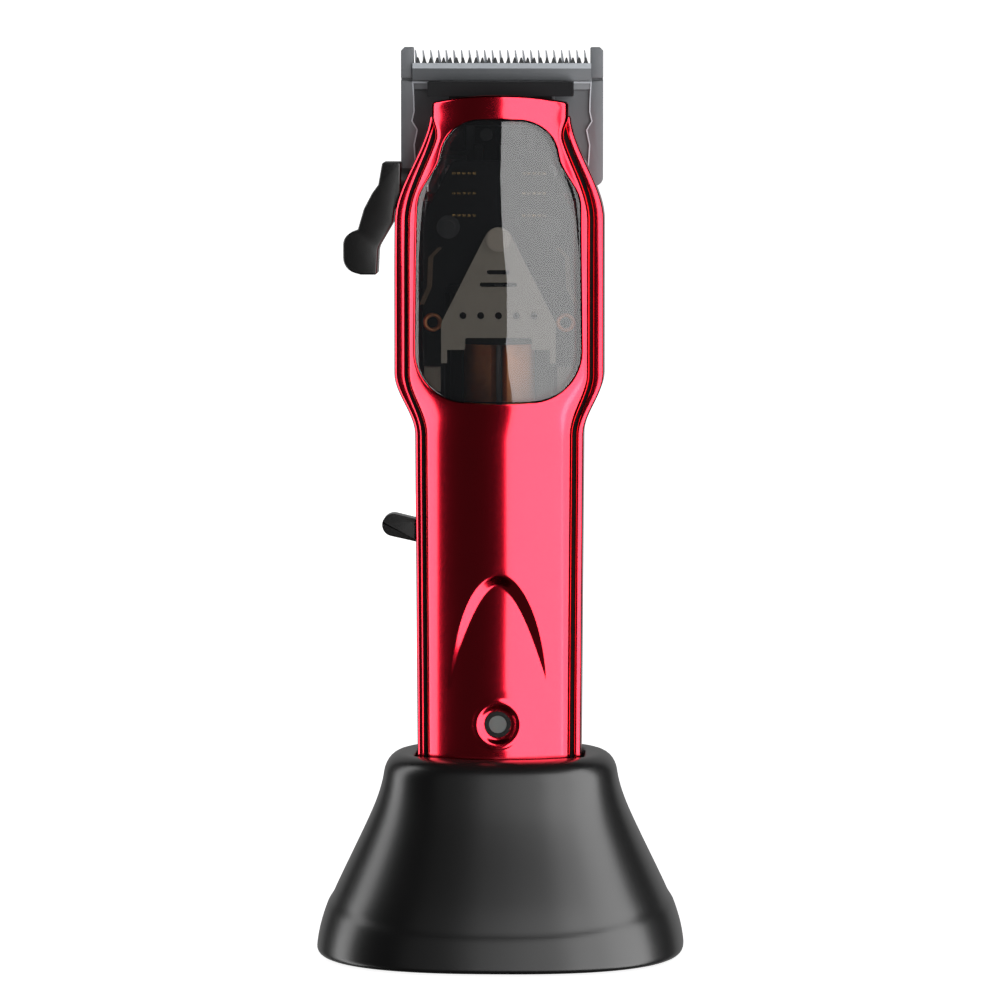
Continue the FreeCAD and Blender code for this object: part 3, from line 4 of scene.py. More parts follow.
import bmesh
import bpy
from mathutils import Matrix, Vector

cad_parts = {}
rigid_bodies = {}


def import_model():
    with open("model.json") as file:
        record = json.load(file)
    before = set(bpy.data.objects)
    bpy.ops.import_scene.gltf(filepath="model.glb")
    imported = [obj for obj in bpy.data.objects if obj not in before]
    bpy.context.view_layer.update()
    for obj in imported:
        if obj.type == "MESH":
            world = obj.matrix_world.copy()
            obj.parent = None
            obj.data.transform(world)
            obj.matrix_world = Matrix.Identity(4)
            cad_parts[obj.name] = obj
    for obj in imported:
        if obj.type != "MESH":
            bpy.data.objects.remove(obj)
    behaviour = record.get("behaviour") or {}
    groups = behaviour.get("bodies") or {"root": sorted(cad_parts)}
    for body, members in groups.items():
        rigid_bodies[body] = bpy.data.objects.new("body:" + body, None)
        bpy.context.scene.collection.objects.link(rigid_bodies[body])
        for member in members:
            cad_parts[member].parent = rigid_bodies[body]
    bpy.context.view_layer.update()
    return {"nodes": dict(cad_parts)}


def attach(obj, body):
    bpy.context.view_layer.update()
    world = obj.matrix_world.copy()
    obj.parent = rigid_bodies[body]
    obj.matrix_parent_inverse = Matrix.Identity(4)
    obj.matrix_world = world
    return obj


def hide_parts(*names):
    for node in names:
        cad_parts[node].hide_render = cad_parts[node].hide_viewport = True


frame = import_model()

# Cordless hair clipper in its flared charging stand.
# Lengths in this script are millimetres in the CAD frame (+Z up, front towards -Y), and MM turns them
# into Blender's metres when a mesh is made.

MM = 0.001
nodes = frame["nodes"]


# ---------------------------------------------------------------- mesh helpers

WELD = 0.004 * MM
SMOOTH_BELOW = math.radians(32)
BEVEL_ABOVE = math.radians(50)


def smooth(low, high, value):
    """0 below low, 1 above high, and an S curve between."""
    ratio = min(1.0, max(0.0, (value - low) / (high - low)))
    return ratio * ratio * (3 - 2 * ratio)


def between(low, high, count):
    """Evenly spaced values, both ends included."""
    return [low + (high - low) * step / count for step in range(count + 1)]


def object_from(name, bm, smooth_below=SMOOTH_BELOW):
    """A scene object from a bmesh, shaded smooth except across its sharp edges."""
    bmesh.ops.recalc_face_normals(bm, faces=bm.faces)
    for face in bm.faces:
        face.smooth = True
    for edge in bm.edges:
        edge.smooth = edge.calc_face_angle(math.pi) < smooth_below
    mesh = bpy.data.meshes.new(name)
    bm.to_mesh(mesh)
    bm.free()
    obj = bpy.data.objects.new(name, mesh)
    bpy.context.scene.collection.objects.link(obj)
    return obj


def solid_from_skins(name, patches):
    """A closed solid from grids of (outside, inside) point pairs that meet along their borders."""
    bm = bmesh.new()
    inside_of = bm.verts.layers.float_vector.new("inside")
    for patch in patches:
        rows = []
        for row in patch:
            made = []
            for outer, inner in row:
                vertex = bm.verts.new(outer * MM)
                vertex[inside_of] = inner * MM
                made.append(vertex)
            rows.append(made)
        for low, high in zip(rows, rows[1:]):
            for corners in zip(low, low[1:], high[1:], high):
                bm.faces.new(corners)
    bmesh.ops.remove_doubles(bm, verts=bm.verts, dist=WELD)
    outer_faces = list(bm.faces)
    border = [edge for edge in bm.edges if edge.is_boundary]
    twins = {vertex: bm.verts.new(vertex[inside_of]) for vertex in list(bm.verts)}
    for face in outer_faces:
        bm.faces.new([twins[vertex] for vertex in reversed(face.verts)])
    for edge in border:
        start, end = edge.verts
        bm.faces.new((start, end, twins[end], twins[start]))
    bmesh.ops.remove_doubles(bm, verts=bm.verts, dist=WELD)
    bmesh.ops.dissolve_degenerate(bm, edges=bm.edges, dist=WELD)
    return object_from(name, bm)


def arc_corner(before, here, after, radius, steps):
    """Points along the round corner between two straight runs."""
    if radius == 0:
        return [Vector(here)]
    here = Vector(here)
    back = (Vector(before) - here).normalized()
    ahead = (Vector(after) - here).normalized()
    half = back.angle(ahead) / 2
    bisector = (back + ahead).normalized()
    centre = here + bisector * radius / math.sin(half)
    start = here + back * radius / math.tan(half) - centre
    end = here + ahead * radius / math.tan(half) - centre
    turn = start.angle(end)
    points = []
    for step in range(steps + 1):
        share = step / steps
        weight_start = math.sin((1 - share) * turn) / math.sin(turn)
        weight_end = math.sin(share * turn) / math.sin(turn)
        points.append(centre + start * weight_start + end * weight_end)
    return points


def rounded_outline(corners, steps=8):
    """A closed outline of straight runs and round corners; each corner is (x, z, radius)."""
    points = []
    count = len(corners)
    for index, (x, z, radius) in enumerate(corners):
        before = corners[index - 1][:2]
        after = corners[(index + 1) % count][:2]
        points += arc_corner(before, (x, z), after, radius, steps)
    return points


def mirrored(corners):
    """The right half of an outline with its left half added."""
    left = [(-x, z, radius) for x, z, radius in reversed(corners) if x > 0]
    return corners + left


def prism_between(first, last):
    """A closed prism between two matching rings of points."""
    part = bmesh.new()
    start = [part.verts.new(Vector(point) * MM) for point in first]
    end = [part.verts.new(Vector(point) * MM) for point in last]
    part.faces.new(start)
    part.faces.new(list(reversed(end)))
    count = len(start)
    for index in range(count):
        following = (index + 1) % count
        part.faces.new((start[index], end[index], end[following], start[following]))
    bmesh.ops.remove_doubles(part, verts=part.verts, dist=WELD)
    bmesh.ops.recalc_face_normals(part, faces=part.faces)
    return part


def add_prism(bm, outline, y_front, y_rear, bevel=0.0, segments=3):
    """An outline in X and Z pushed along Y, its two rims bevelled."""
    part = prism_between([(p[0], y_front, p[1]) for p in outline], [(p[0], y_rear, p[1]) for p in outline])
    if bevel:
        rims = [edge for edge in part.edges if edge.calc_face_angle(0) > BEVEL_ABOVE]
        bmesh.ops.bevel(part, geom=rims, offset=bevel * MM, segments=segments, profile=0.5,
                        affect="EDGES", clamp_overlap=True)
    append_mesh(bm, part)


def add_side_prism(bm, outline, x_low, x_high):
    """An outline in Y and Z pushed along X."""
    append_mesh(bm, prism_between([(x_low, p[0], p[1]) for p in outline],
                                  [(x_high, p[0], p[1]) for p in outline]))


def append_mesh(bm, part):
    """Copy one bmesh into another and free it."""
    mesh = bpy.data.meshes.new("part")
    part.to_mesh(mesh)
    part.free()
    bm.from_mesh(mesh)
    bpy.data.meshes.remove(mesh)


def add_block(bm, low, high, bevel=0.0, segments=2):
    """A block between two corners, with bevelled edges."""
    outline = [(low[0], low[2]), (high[0], low[2]), (high[0], high[2]), (low[0], high[2])]
    add_prism(bm, outline, low[1], high[1], bevel, segments)


AXES = {"X": Vector((1, 0, 0)), "Y": Vector((0, 1, 0)), "Z": Vector((0, 0, 1))}


def add_turned(bm, profile, at, axis, steps=48):
    """A solid of revolution; the profile is (distance along the axis, radius) from end to end."""
    along = AXES[axis]
    across = AXES["Z"] if axis != "Z" else AXES["X"]
    sideways = along.cross(across)
    centre = Vector(at)
    part = bmesh.new()
    rings = []
    for distance, radius in profile:
        ring = []
        for step in range(steps):
            turn = 2 * math.pi * step / steps
            spoke = across * math.cos(turn) + sideways * math.sin(turn)
            ring.append(part.verts.new((centre + along * distance + spoke * radius) * MM))
        rings.append(ring)
    for low, high in zip(rings, rings[1:]):
        for index in range(steps):
            following = (index + 1) % steps
            part.faces.new((low[index], low[following], high[following], high[index]))
    part.faces.new(rings[0])
    part.faces.new(rings[-1])
    bmesh.ops.remove_doubles(part, verts=part.verts, dist=WELD)
    bmesh.ops.recalc_face_normals(part, faces=part.faces)
    append_mesh(bm, part)


def rounded_rod(start, end, radius, edge):
    """Profile of a round bar with rounded rims."""
    turns = [math.radians(angle) for angle in (0, 22.5, 45, 67.5, 90)]
    first = [(start + edge * (1 - math.sin(turn)), radius - edge * (1 - math.cos(turn)))
             for turn in reversed(turns)]
    last = [(end - edge * (1 - math.sin(turn)), radius - edge * (1 - math.cos(turn)))
            for turn in turns]
    return first + last


def carve(obj, add_cutter, *shape):
    """Cut one closed shape out of an object for good; add_cutter draws it from the given values."""
    bm = bmesh.new()
    add_cutter(bm, *shape)
    cutter = object_from("cutter", bm)
    modifier = obj.modifiers.new("carve", "BOOLEAN")
    modifier.operation = "DIFFERENCE"
    modifier.solver = "EXACT"
    modifier.object = cutter
    bpy.context.view_layer.update()
    graph = bpy.context.evaluated_depsgraph_get()
    carved = bpy.data.meshes.new_from_object(obj.evaluated_get(graph))
    obj.modifiers.remove(modifier)
    bpy.data.objects.remove(cutter)
    again = bmesh.new()
    again.from_mesh(carved)
    bpy.data.meshes.remove(carved)
    name = obj.name
    bpy.data.objects.remove(obj)
    return object_from(name, again)


def piece(obj, surface, body, slot, *replaced):
    """Give a finished piece its material and its body, and hide the CAD nodes it stands for; the slot is
    not used.
    """
    obj.data.materials.clear()
    obj.data.materials.append(surface)
    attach(obj, body)
    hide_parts(*replaced)
    return obj


# ---------------------------------------------------------------- materials

def new_material(name):
    """An empty node material with a Principled surface."""
    surface = bpy.data.materials.new(name)
    surface.use_nodes = True
    tree = surface.node_tree
    tree.nodes.clear()
    output = tree.nodes.new("ShaderNodeOutputMaterial")
    shader = tree.nodes.new("ShaderNodeBsdfPrincipled")
    tree.links.new(shader.outputs["BSDF"], output.inputs["Surface"])
    return surface, tree, shader


def noise(tree, size, detail=3.0, stretch=(1, 1, 1)):
    """Noise in the object's own space, with features of a given size in millimetres."""
    place = tree.nodes.new("ShaderNodeTexCoord")
    mapping = tree.nodes.new("ShaderNodeMapping")
    mapping.inputs["Scale"].default_value = [1 / (size * MM) * share for share in stretch]
    texture = tree.nodes.new("ShaderNodeTexNoise")
    texture.inputs["Scale"].default_value = 1.0
    texture.inputs["Detail"].default_value = detail
    tree.links.new(place.outputs["Object"], mapping.inputs["Vector"])
    tree.links.new(mapping.outputs["Vector"], texture.inputs["Vector"])
    return texture.outputs["Fac"]


def make_material(name, color, metallic=0.0, roughness=0.4, spread=0.05, tint=0.08, patch=6.0,
                  grain=0.12, bump=0.05, stretch=(1, 1, 1), **sockets):
    """Principled surface: soft patches vary colour and roughness, and a fine grain bumps it."""
    surface, tree, shader = new_material(name)
    patches = noise(tree, patch)
    mix = tree.nodes.new("ShaderNodeMix")
    mix.data_type = "RGBA"
    mix.inputs["A"].default_value = [channel * (1 - tint) for channel in color] + [1]
    mix.inputs["B"].default_value = [min(1, channel * (1 + tint)) for channel in color] + [1]
    tree.links.new(patches, mix.inputs["Factor"])
    tree.links.new(mix.outputs["Result"], shader.inputs["Base Color"])
    ramp = tree.nodes.new("ShaderNodeMapRange")
    ramp.inputs["To Min"].default_value = roughness - spread
    ramp.inputs["To Max"].default_value = roughness + spread
    tree.links.new(noise(tree, patch / 3), ramp.inputs["Value"])
    tree.links.new(ramp.outputs["Result"], shader.inputs["Roughness"])
    relief = tree.nodes.new("ShaderNodeBump")
    relief.inputs["Strength"].default_value = bump
    relief.inputs["Distance"].default_value = 0.05 * MM
    tree.links.new(noise(tree, grain, 2.0, stretch), relief.inputs["Height"])
    tree.links.new(relief.outputs["Normal"], shader.inputs["Normal"])
    shader.inputs["Metallic"].default_value = metallic
    for socket, value in sockets.items():
        shader.inputs[socket.replace("_", " ")].default_value = value
    return surface


# Each plain surface's values in the order of make_material: colour, metallic, roughness and its spread,
# tint, patch size, and where it isn't the usual grain also the grain's size, bump and stretch.
SURFACES = {
    # dyed metal under a clear satin coat
    "red_metal": ((0.75, 0.012, 0.035), 1.0, 0.16, 0.01, 0.03, 9.0, 0.09, 0.02),
    # moulded plastic with a fine spark-eroded grain
    "black_plastic": ((0.003, 0.003, 0.0031), 0.0, 0.3, 0.01, 0.1, 14.0, 0.16, 0.06),
    # plastic in the shade of the casing, and the bottom of the groove
    "matte_black": ((0.005, 0.005, 0.0055), 0.0, 0.6, 0.04, 0.1, 6.0, 0.2, 0.1),
    # smoother plastic of the levers
    "lever_black": ((0.003, 0.003, 0.003), 0.0, 0.22, 0.02, 0.1, 5.0, 0.14, 0.05),
    # screws, feet, and what is inside
    "screw_steel": ((0.42, 0.42, 0.42), 1.0, 0.28, 0.04, 0.06, 2.0, 0.05, 0.08),
    "rubber": ((0.012, 0.012, 0.012), 0.0, 0.7, 0.05, 0.1, 4.0, 0.2, 0.3),
    "gold": ((0.85, 0.55, 0.2), 1.0, 0.25, 0.04, 0.05, 2.0, 0.05, 0.06),
    "copper": ((0.62, 0.26, 0.12), 1.0, 0.34, 0.05, 0.18, 1.6, 0.12, 0.8, (0.2, 0.2, 3)),
    "circuit_board": ((0.01, 0.06, 0.035), 0.0, 0.4, 0.05, 0.3, 1.2, 0.2, 0.2),
    # black of the chips, and painted shade on the lever's shaft
    "chip_black": ((0.015, 0.015, 0.016), 0.0, 0.5, 0.05, 0.1, 2.0),
    "weight_iron": ((0.16, 0.15, 0.15), 1.0, 0.5, 0.08, 0.2, 3.0, 0.3, 0.4),
    "badge_steel": ((0.34, 0.305, 0.255), 0.75, 0.45, 0.04, 0.05, 3.0, 0.07, 0.25, (1, 1, 6)),
    "bolt_steel": ((0.5, 0.44, 0.37), 0.6, 0.4, 0.04, 0.05, 1.5),
    "cell_wrap": ((0.03, 0.10, 0.25), 0.0, 0.35, 0.04, 0.06, 5.0),
    "bronze": ((0.13, 0.09, 0.06), 0.8, 0.45, 0.05, 0.1, 2.0, 0.06, 0.08),
    "beige_block": ((0.16, 0.135, 0.105), 0.0, 0.5, 0.05, 0.08, 3.0),
    "indicator_grey": ((0.05, 0.05, 0.048), 0.0, 0.35, 0.04, 0.06, 1.0, 0.3, 0.3),
    "nickel": ((0.55, 0.53, 0.5), 1.0, 0.24, 0.04, 0.05, 2.0, 0.06, 0.08),
    "spring_steel": ((0.5, 0.5, 0.5), 1.0, 0.3, 0.04, 0.05, 2.0),
}
SOCKETS = {
    "red_metal": dict(Coat_Weight=0.5, Coat_Roughness=0.08, Coat_IOR=1.5),
    "black_plastic": dict(IOR=1.5),
    "matte_black": dict(Specular_IOR_Level=0.08),
    "lever_black": dict(IOR=1.5),
    "indicator_grey": dict(Subsurface_Weight=0.3, Subsurface_Scale=0.5 * MM),
}
# Copies of one ground and coated steel, painted lighter or darker for light and shade, from the teeth
# painted dark as shade to the edges painted bright as highlights: how light each copy is painted.
BLADE_PAINTED_LEVELS = {"blade_painted_shade": 0.020, "blade_panel_painted_shade": 0.045, "blade_steel": 0.060,
                "blade_post_painted_light": 0.08, "blade_tooth_painted_light": 0.17, "blade_painted_highlight": 0.26}


def make_materials():
    """Every surface of the clipper and its stand, by name."""
    surfaces = {name: make_material(name, *values, **SOCKETS.get(name, {}))
                for name, values in SURFACES.items()}
    surfaces.update({name: blade_steel(name, level) for name, level in BLADE_PAINTED_LEVELS.items()})
    surfaces["smoked_lens"] = make_smoked_lens()
    return surfaces


def blade_steel(name, level):
    """Brushed steel with a dull coat; level is how light it is painted, so each copy stands in for light or
    shade on the blades.
    """
    return make_material(name, (level * 0.95, level, level * 1.07), 0.25, 0.5, 0.03, 0.06, 3.0, 0.05,
                         0.12, (1, 1, 12), Specular_IOR_Level=0.3)


def make_smoked_lens():
    """Grey see-through plastic: dark in itself, glossy, and half clear."""
    surface = make_material("smoked_lens", (0.005, 0.0055, 0.006), 0.0, 0.04, 0.005, 0.05, 20.0,
                            8.0, 0.0, IOR=1.9)
    shader = surface.node_tree.nodes["Principled BSDF"]
    shader.inputs["Alpha"].default_value = 0.42
    return surface


# ---------------------------------------------------------------- casing form

GRIP_HALF = 18.4
GRIP_WIDENING = 0.65
NECK = (119.0, 133.0)
SHOULDER = (167.5, 192.0)
COVER_BOTTOM = 28.0
COVER_TOP = 195.7
SHELL_TOP = 191.0
COVER_WALL = 1.6
EDGE_ROUND = 2.3
TUCK = 2.4


def casing_value(z, grip, body, head, slope=SHOULDER):
    """A size that changes from grip to body at the neck and from body to head at the shoulder."""
    return grip + (body - grip) * smooth(*NECK, z) + (head - body) * smooth(*slope, z)


def half_width(z):
    """Half the width of the casing at a height."""
    grip = GRIP_HALF + GRIP_WIDENING * min(1.0, (z - 25.0) / 94.0)
    return casing_value(z, grip, 23.65, 15.9)


def front_reach(z):
    """How far the middle of the front stands in front of the axis."""
    return casing_value(z, 16.5, 19.0, 7.5, (155.0, 205.0))


def rear_reach(z):
    """How far the back stands behind the axis."""
    return casing_value(z, 16.5, 17.5, 8.5, (158.0, 196.0))


def face_radius(z):
    """Radius of the convex front across its width."""
    return casing_value(z, 27.0, 36.0, 30.0)


def cover_half_width(z):
    """Half the width of the front cover, inside the groove."""
    flare = 2.0 * smooth(185.5, 192.0, z)
    return half_width(z) - casing_value(z, 2.4, 3.1, 2.4) + flare


def cover_edge(z):
    """Centre of the cover's edge rounding, and the turn at which the face meets it."""
    across = cover_half_width(z) - EDGE_ROUND
    along = math.sqrt((face_radius(z) - EDGE_ROUND) ** 2 - across ** 2)
    centre_y = face_radius(z) - front_reach(z) - along
    return across, centre_y, math.atan2(across, along)


def lip_depth(z):
    """Where the rear shell's lip ends, just behind the cover's edge rounding."""
    return cover_edge(z)[1] + 0.5


def face_edge(z):
    """Half the width of the cover's face, where its edge rounding starts."""
    return face_radius(z) * math.sin(cover_edge(z)[2])


def on_face(x, z, depth=0.0):
    """A point on the front face, or a distance inside it."""
    radius = face_radius(z)
    turn = math.asin(max(-1.0, min(1.0, x / radius)))
    short = radius - depth
    return Vector((short * math.sin(turn), radius - front_reach(z) - short * math.cos(turn), z))


def on_edge(side, share, z, depth=0.0):
    """A point on the cover's edge (share 0 to 1) or on the side behind it (1 to 2)."""
    across, centre_y, turn = cover_edge(z)
    radius = EDGE_ROUND - depth
    if share <= 1:
        angle = turn + (math.pi / 2 - turn) * share
        return Vector((side * (across + radius * math.sin(angle)), centre_y - radius * math.cos(angle), z))
    behind = (share - 1) * (lip_depth(z) + TUCK - centre_y)
    return Vector((side * (across + radius), centre_y + behind, z))


# ---------------------------------------------------------------- front cover

ARCH_BASE = 61.5
ARCH_APEX = 88.1
ARCH_INNER_APEX = 85.1
ARCH_HALF_WIDTH = 11.2
ARCH_DEPTH = 1.3
DISH_HEIGHT = 53.9
DISH_RADIUS = 5.0
DISH_DEPTH = 0.95
BEZEL_RADIUS = 3.05
INDICATOR_HOLE_RADIUS = 2.98
CROWN_DROP = 1.9
CROWN_FROM = 187.0
LENS_THICKNESS = 2.0


def arch_half_width(z, share):
    """Half width of the arch at a height: its outer edge at share 0, its inner edge at share 1."""
    apex = ARCH_APEX + (ARCH_INNER_APEX - ARCH_APEX) * share
    fall = (apex - z) / (apex - ARCH_BASE)
    if fall <= 0:
        return 0.0
    fall = min(1.0, fall)
    outer = math.sqrt(1 - (1 - fall) ** 1.9)
    inner = fall ** 0.544
    return ARCH_HALF_WIDTH * (outer + (inner - outer) * share)


def ramp(share, soft=0.1):
    """A straight slope from 0 to 1 with softened ends."""
    if share < soft:
        return share * share / (2 * soft * (1 - soft))
    if share > 1 - soft:
        return 1 - ramp(1 - share, soft)
    return (share - soft / 2) / (1 - soft)


def arch_depth(x, z):
    """How deep the arch is pressed in at a point of the face."""
    if z <= ARCH_BASE or abs(x) >= arch_half_width(z, 0):
        return 0.0
    low = 0.0
    high = 1.0
    if abs(x) < arch_half_width(z, 1):
        low = 1.0
    else:
        for _ in range(12):
            middle = (low + high) / 2
            if abs(x) < arch_half_width(z, middle):
                low = middle
            else:
                high = middle
    rise = min(1.0, (z - ARCH_BASE) / (ARCH_INNER_APEX - ARCH_BASE))
    return ARCH_DEPTH * math.sin(rise * math.pi / 2) * ramp(low, 0.2)


def dish_depth(x, z):
    """Raised ring and cone-shaped hollow round the indicator."""
    reach = math.hypot(x, z - DISH_HEIGHT)
    ring = 0.2 * smooth(6.1, 5.2, reach)
    slope = DISH_DEPTH * ramp(min(1.0, max(0.0, (DISH_RADIUS - reach) / (DISH_RADIUS - BEZEL_RADIUS))), 0.4)
    return slope - ring


def cover_depth(x, z):
    """Relief of the front cover below the plain face."""
    if z < ARCH_BASE:
        return dish_depth(x, z)
    return arch_depth(x, z)


def end_drop(z, top, radius):
    """How far a wall rounds off just below its upper end."""
    over = max(0.0, z - (top - radius))
    return radius - math.sqrt(max(0.0, radius ** 2 - over ** 2))


ARC_STEPS = 24
WINDOW_CORNERS = [(0, 126.4, 80.0), (19.1, 127.3, 11.5), (18.6, 172.9, 9.0), (13.9, 180.5, 6.0),
                  (11.9, 190.3, 9.0)]


def window_outline(gap):
    """Right half of the window's outline from its bottom to its top, a distance inside the opening."""
    (_, bottom, long), (side, corner, round_1), (upper, shoulder, round_2), (neck, neck_z, round_3), \
        (top_x, top, round_4) = WINDOW_CORNERS
    corners = [(0, bottom + gap, long), (side - gap, corner + gap, round_1 - gap),
               (upper - gap, shoulder, round_2), (neck - gap, neck_z, round_3),
               (top_x - gap, top - gap, round_4 - gap)]
    points = rounded_outline(mirrored(corners), ARC_STEPS)
    count = (ARC_STEPS + 1) * len(corners)
    right = [point for point in points[:count] if point.x > 0.01]
    start = points[ARC_STEPS // 2]
    return [Vector((0, start.y))] + right + [Vector((0, top - gap))]


def split_at(points, height):
    """Cut a rising line of points in two at a height."""
    for index, (low, high) in enumerate(zip(points, points[1:])):
        if low.y <= height < high.y:
            share = (height - low.y) / (high.y - low.y)
            cut = low.lerp(high, share)
            return points[:index + 1] + [cut], [cut] + points[index + 1:]
    raise ValueError("the outline doesn't reach %g" % height)


def spread(points, count):
    """Points evenly spaced by length along a line of points."""
    lengths = [0.0]
    for start, end in zip(points, points[1:]):
        lengths.append(lengths[-1] + (end - start).length)
    result = []
    index = 0
    for step in range(count + 1):
        target = lengths[-1] * step / count
        while index < len(points) - 2 and lengths[index + 1] < target:
            index += 1
        stretch = lengths[index + 1] - lengths[index]
        share = (target - lengths[index]) / stretch if stretch else 0.0
        result.append(points[index].lerp(points[index + 1], min(1.0, max(0.0, share))))
    return result


WINDOW_PATCH_BOTTOM = 122.0
CORNER_LOW = 131.5
CORNER_HIGH = 186.0
TOP_ROUND = 0.5
HALF_COLUMNS = 60
COUNTS = {"low": 10, "side": 50, "high": 8, "top": 30}


def window_loop(gap):
    """Evenly matched points of the window's right half, in three stretches."""
    low, rest = split_at(window_outline(gap), CORNER_LOW)
    side, high = split_at(rest, CORNER_HIGH)
    return (spread(low, HALF_COLUMNS + COUNTS["low"]) + spread(side, COUNTS["side"])[1:]
            + spread(high, COUNTS["high"] + COUNTS["top"])[1:])


def patch_border():
    """The border of the patch that the window lies in, matched point for point to the window's loop."""
    top = COVER_TOP - TOP_ROUND
    bottom = WINDOW_PATCH_BOTTOM
    turn = cover_edge(bottom)[2]
    points = [Vector((face_radius(bottom) * math.sin(turn * step / HALF_COLUMNS), bottom))
              for step in range(HALF_COLUMNS + 1)]
    for low, high, count in ((bottom, CORNER_LOW, "low"), (CORNER_LOW, CORNER_HIGH, "side"),
                             (CORNER_HIGH, top, "high")):
        points += [Vector((face_edge(z), z)) for z in between(low, high, COUNTS[count])[1:]]
    turn = cover_edge(top)[2]
    points += [Vector((face_radius(top) * math.sin(turn * (1 - step / COUNTS["top"])), top))
               for step in range(1, COUNTS["top"] + 1)]
    return points


def cover_pair(x, z, depth=0.0):
    """Outside and inside point of the front cover at a place of its face."""
    return on_face(x, z, depth), on_face(x, z, depth + COVER_WALL)


def front_cover_patches():
    """The cover's skin: the grip's face, the frame of the window, the top and both edges."""
    heights = (between(COVER_BOTTOM, 47.0, 12) + between(47.0, 61.0, 56)[1:] + between(61.0, 88.0, 100)[1:]
               + between(88.0, WINDOW_PATCH_BOTTOM, 24)[1:])
    face = []
    for z in heights:
        turn = cover_edge(z)[2]
        row = []
        for step in range(-HALF_COLUMNS, HALF_COLUMNS + 1):
            x = face_radius(z) * math.sin(turn * step / HALF_COLUMNS)
            row.append(cover_pair(x, z, cover_depth(x, z)))
        face.append(row)
    patches = [face]

    border = patch_border()
    inner = [(0.3, 0.0), (0.18, 0.015), (0.08, 0.06), (0.02, 0.14), (0.0, 0.3)]
    loops = []
    first = window_loop(-inner[0][0])
    for share in between(0, 1, 7):
        loops.append([(edge.lerp(hole, share), 0.0) for edge, hole in zip(border, first)])
    for widen, depth in inner[1:]:
        loops.append([(point, depth) for point in window_loop(-widen)])
    for side in (1, -1):
        patches.append([[(on_face(side * p.x, p.y, depth), on_face(side * p.x, p.y, COVER_WALL))
                         for p, depth in loop] for loop in loops])

    top = COVER_TOP - TOP_ROUND
    crown = [top + TOP_ROUND * share for share in (0.0, 0.35, 0.65, 0.88, 1.0)]
    turns = [step / COUNTS["top"] for step in range(-COUNTS["top"], COUNTS["top"] + 1)]
    strip = []
    for z in crown:
        row = []
        for share in turns:
            x = face_radius(z) * math.sin(cover_edge(z)[2] * share)
            row.append(cover_pair(x, z, end_drop(z, COVER_TOP, TOP_ROUND)))
        strip.append(row)
    patches.append(strip)

    side_heights = heights + [p.y for p in border[HALF_COLUMNS + 1:-COUNTS["top"]]] + crown[1:]
    shares = between(0, 1, 9) + between(1, 2, 3)[1:]
    for side in (1, -1):
        rows = []
        for z in side_heights:
            drop = end_drop(z, COVER_TOP, TOP_ROUND)
            rows.append([(on_edge(side, share, z, drop), on_edge(side, share, z, drop + COVER_WALL))
                         for share in shares])
        patches.append(rows)
    return patches


def crowned(patches):
    """Patches with the top of the cover bent down a little towards its corners."""
    def bend(point):
        drop = CROWN_DROP * (point.x / 15.9) ** 2 * smooth(CROWN_FROM, 195.0, point.z)
        return Vector((point.x, point.y, point.z - drop))
    return [[[(bend(outer), bend(inner)) for outer, inner in row] for row in patch] for patch in patches]


def make_front_cover(surfaces):
    """Front half of the casing."""
    cover = solid_from_skins("front_cover_shell", crowned(front_cover_patches()))
    hole = [(-24.0, INDICATOR_HOLE_RADIUS), (-8.0, INDICATOR_HOLE_RADIUS)]
    cover = carve(cover, add_turned, hole, (0, 0, DISH_HEIGHT), "Y", 64)
    piece(cover, surfaces["red_metal"], "clipper", "red_metal", "front_cover")


def make_window_lens(surfaces):
    """Smoked pane, flush with the cover, with a rounded rim."""
    rim = [(0.14, 0.35), (0.17, 0.2), (0.24, 0.1), (0.34, 0.06)]
    loops = [[(p, depth) for p in window_loop(gap)] for gap, depth in rim]
    outline = window_loop(0.5)
    for share in (1.0, 0.93, 0.84, 0.72, 0.58, 0.42, 0.25, 0.1, 0.0):
        ring = []
        for p in outline:
            core = Vector((0, min(176.0, max(142.0, p.y))))
            ring.append((core.lerp(p, share), 0.05))
        loops.append(ring)
    patches = []
    for side in (1, -1):
        patches.append([[(on_face(side * p.x, p.y, depth), on_face(side * p.x, p.y, LENS_THICKNESS))
                         for p, depth in loop] for loop in loops])
    lens = solid_from_skins("window_pane", crowned(patches))
    piece(lens, surfaces["smoked_lens"], "clipper", "smoked_lens", "window_lens")


# ---------------------------------------------------------------- rear shell

SHELL_WALL = 1.4
SHELL_BACK_WALL = 1.8
SHELL_ROUNDNESS = 2.4
LIP_ROUND = 1.0
BLADE_SEAT = 5.9
BLADE_SEAT_BOTTOM = 172.8
SHELF_INSET = 0.3
SHELF_THICKNESS = 1.6
LEVER_AXIS = 176.0
LEVER_SEAT_RADIUS = 6.4
LEVER_SEAT_FLOOR = -22.2
TOGGLE_HEIGHT = 96.1
HEAD_ROOM_HALF = 14.4
HEAD_ROOM_BOTTOM = 180.5
SCREW_HEIGHTS = (33.5, 112.4)
SCREW_WELL_RADIUS = 2.4
SCREW_WELL_DEPTH = 1.6


def lip_width(z):
    """Width of the shell's front lip."""
    return casing_value(z, 1.5, 2.3, 1.3)


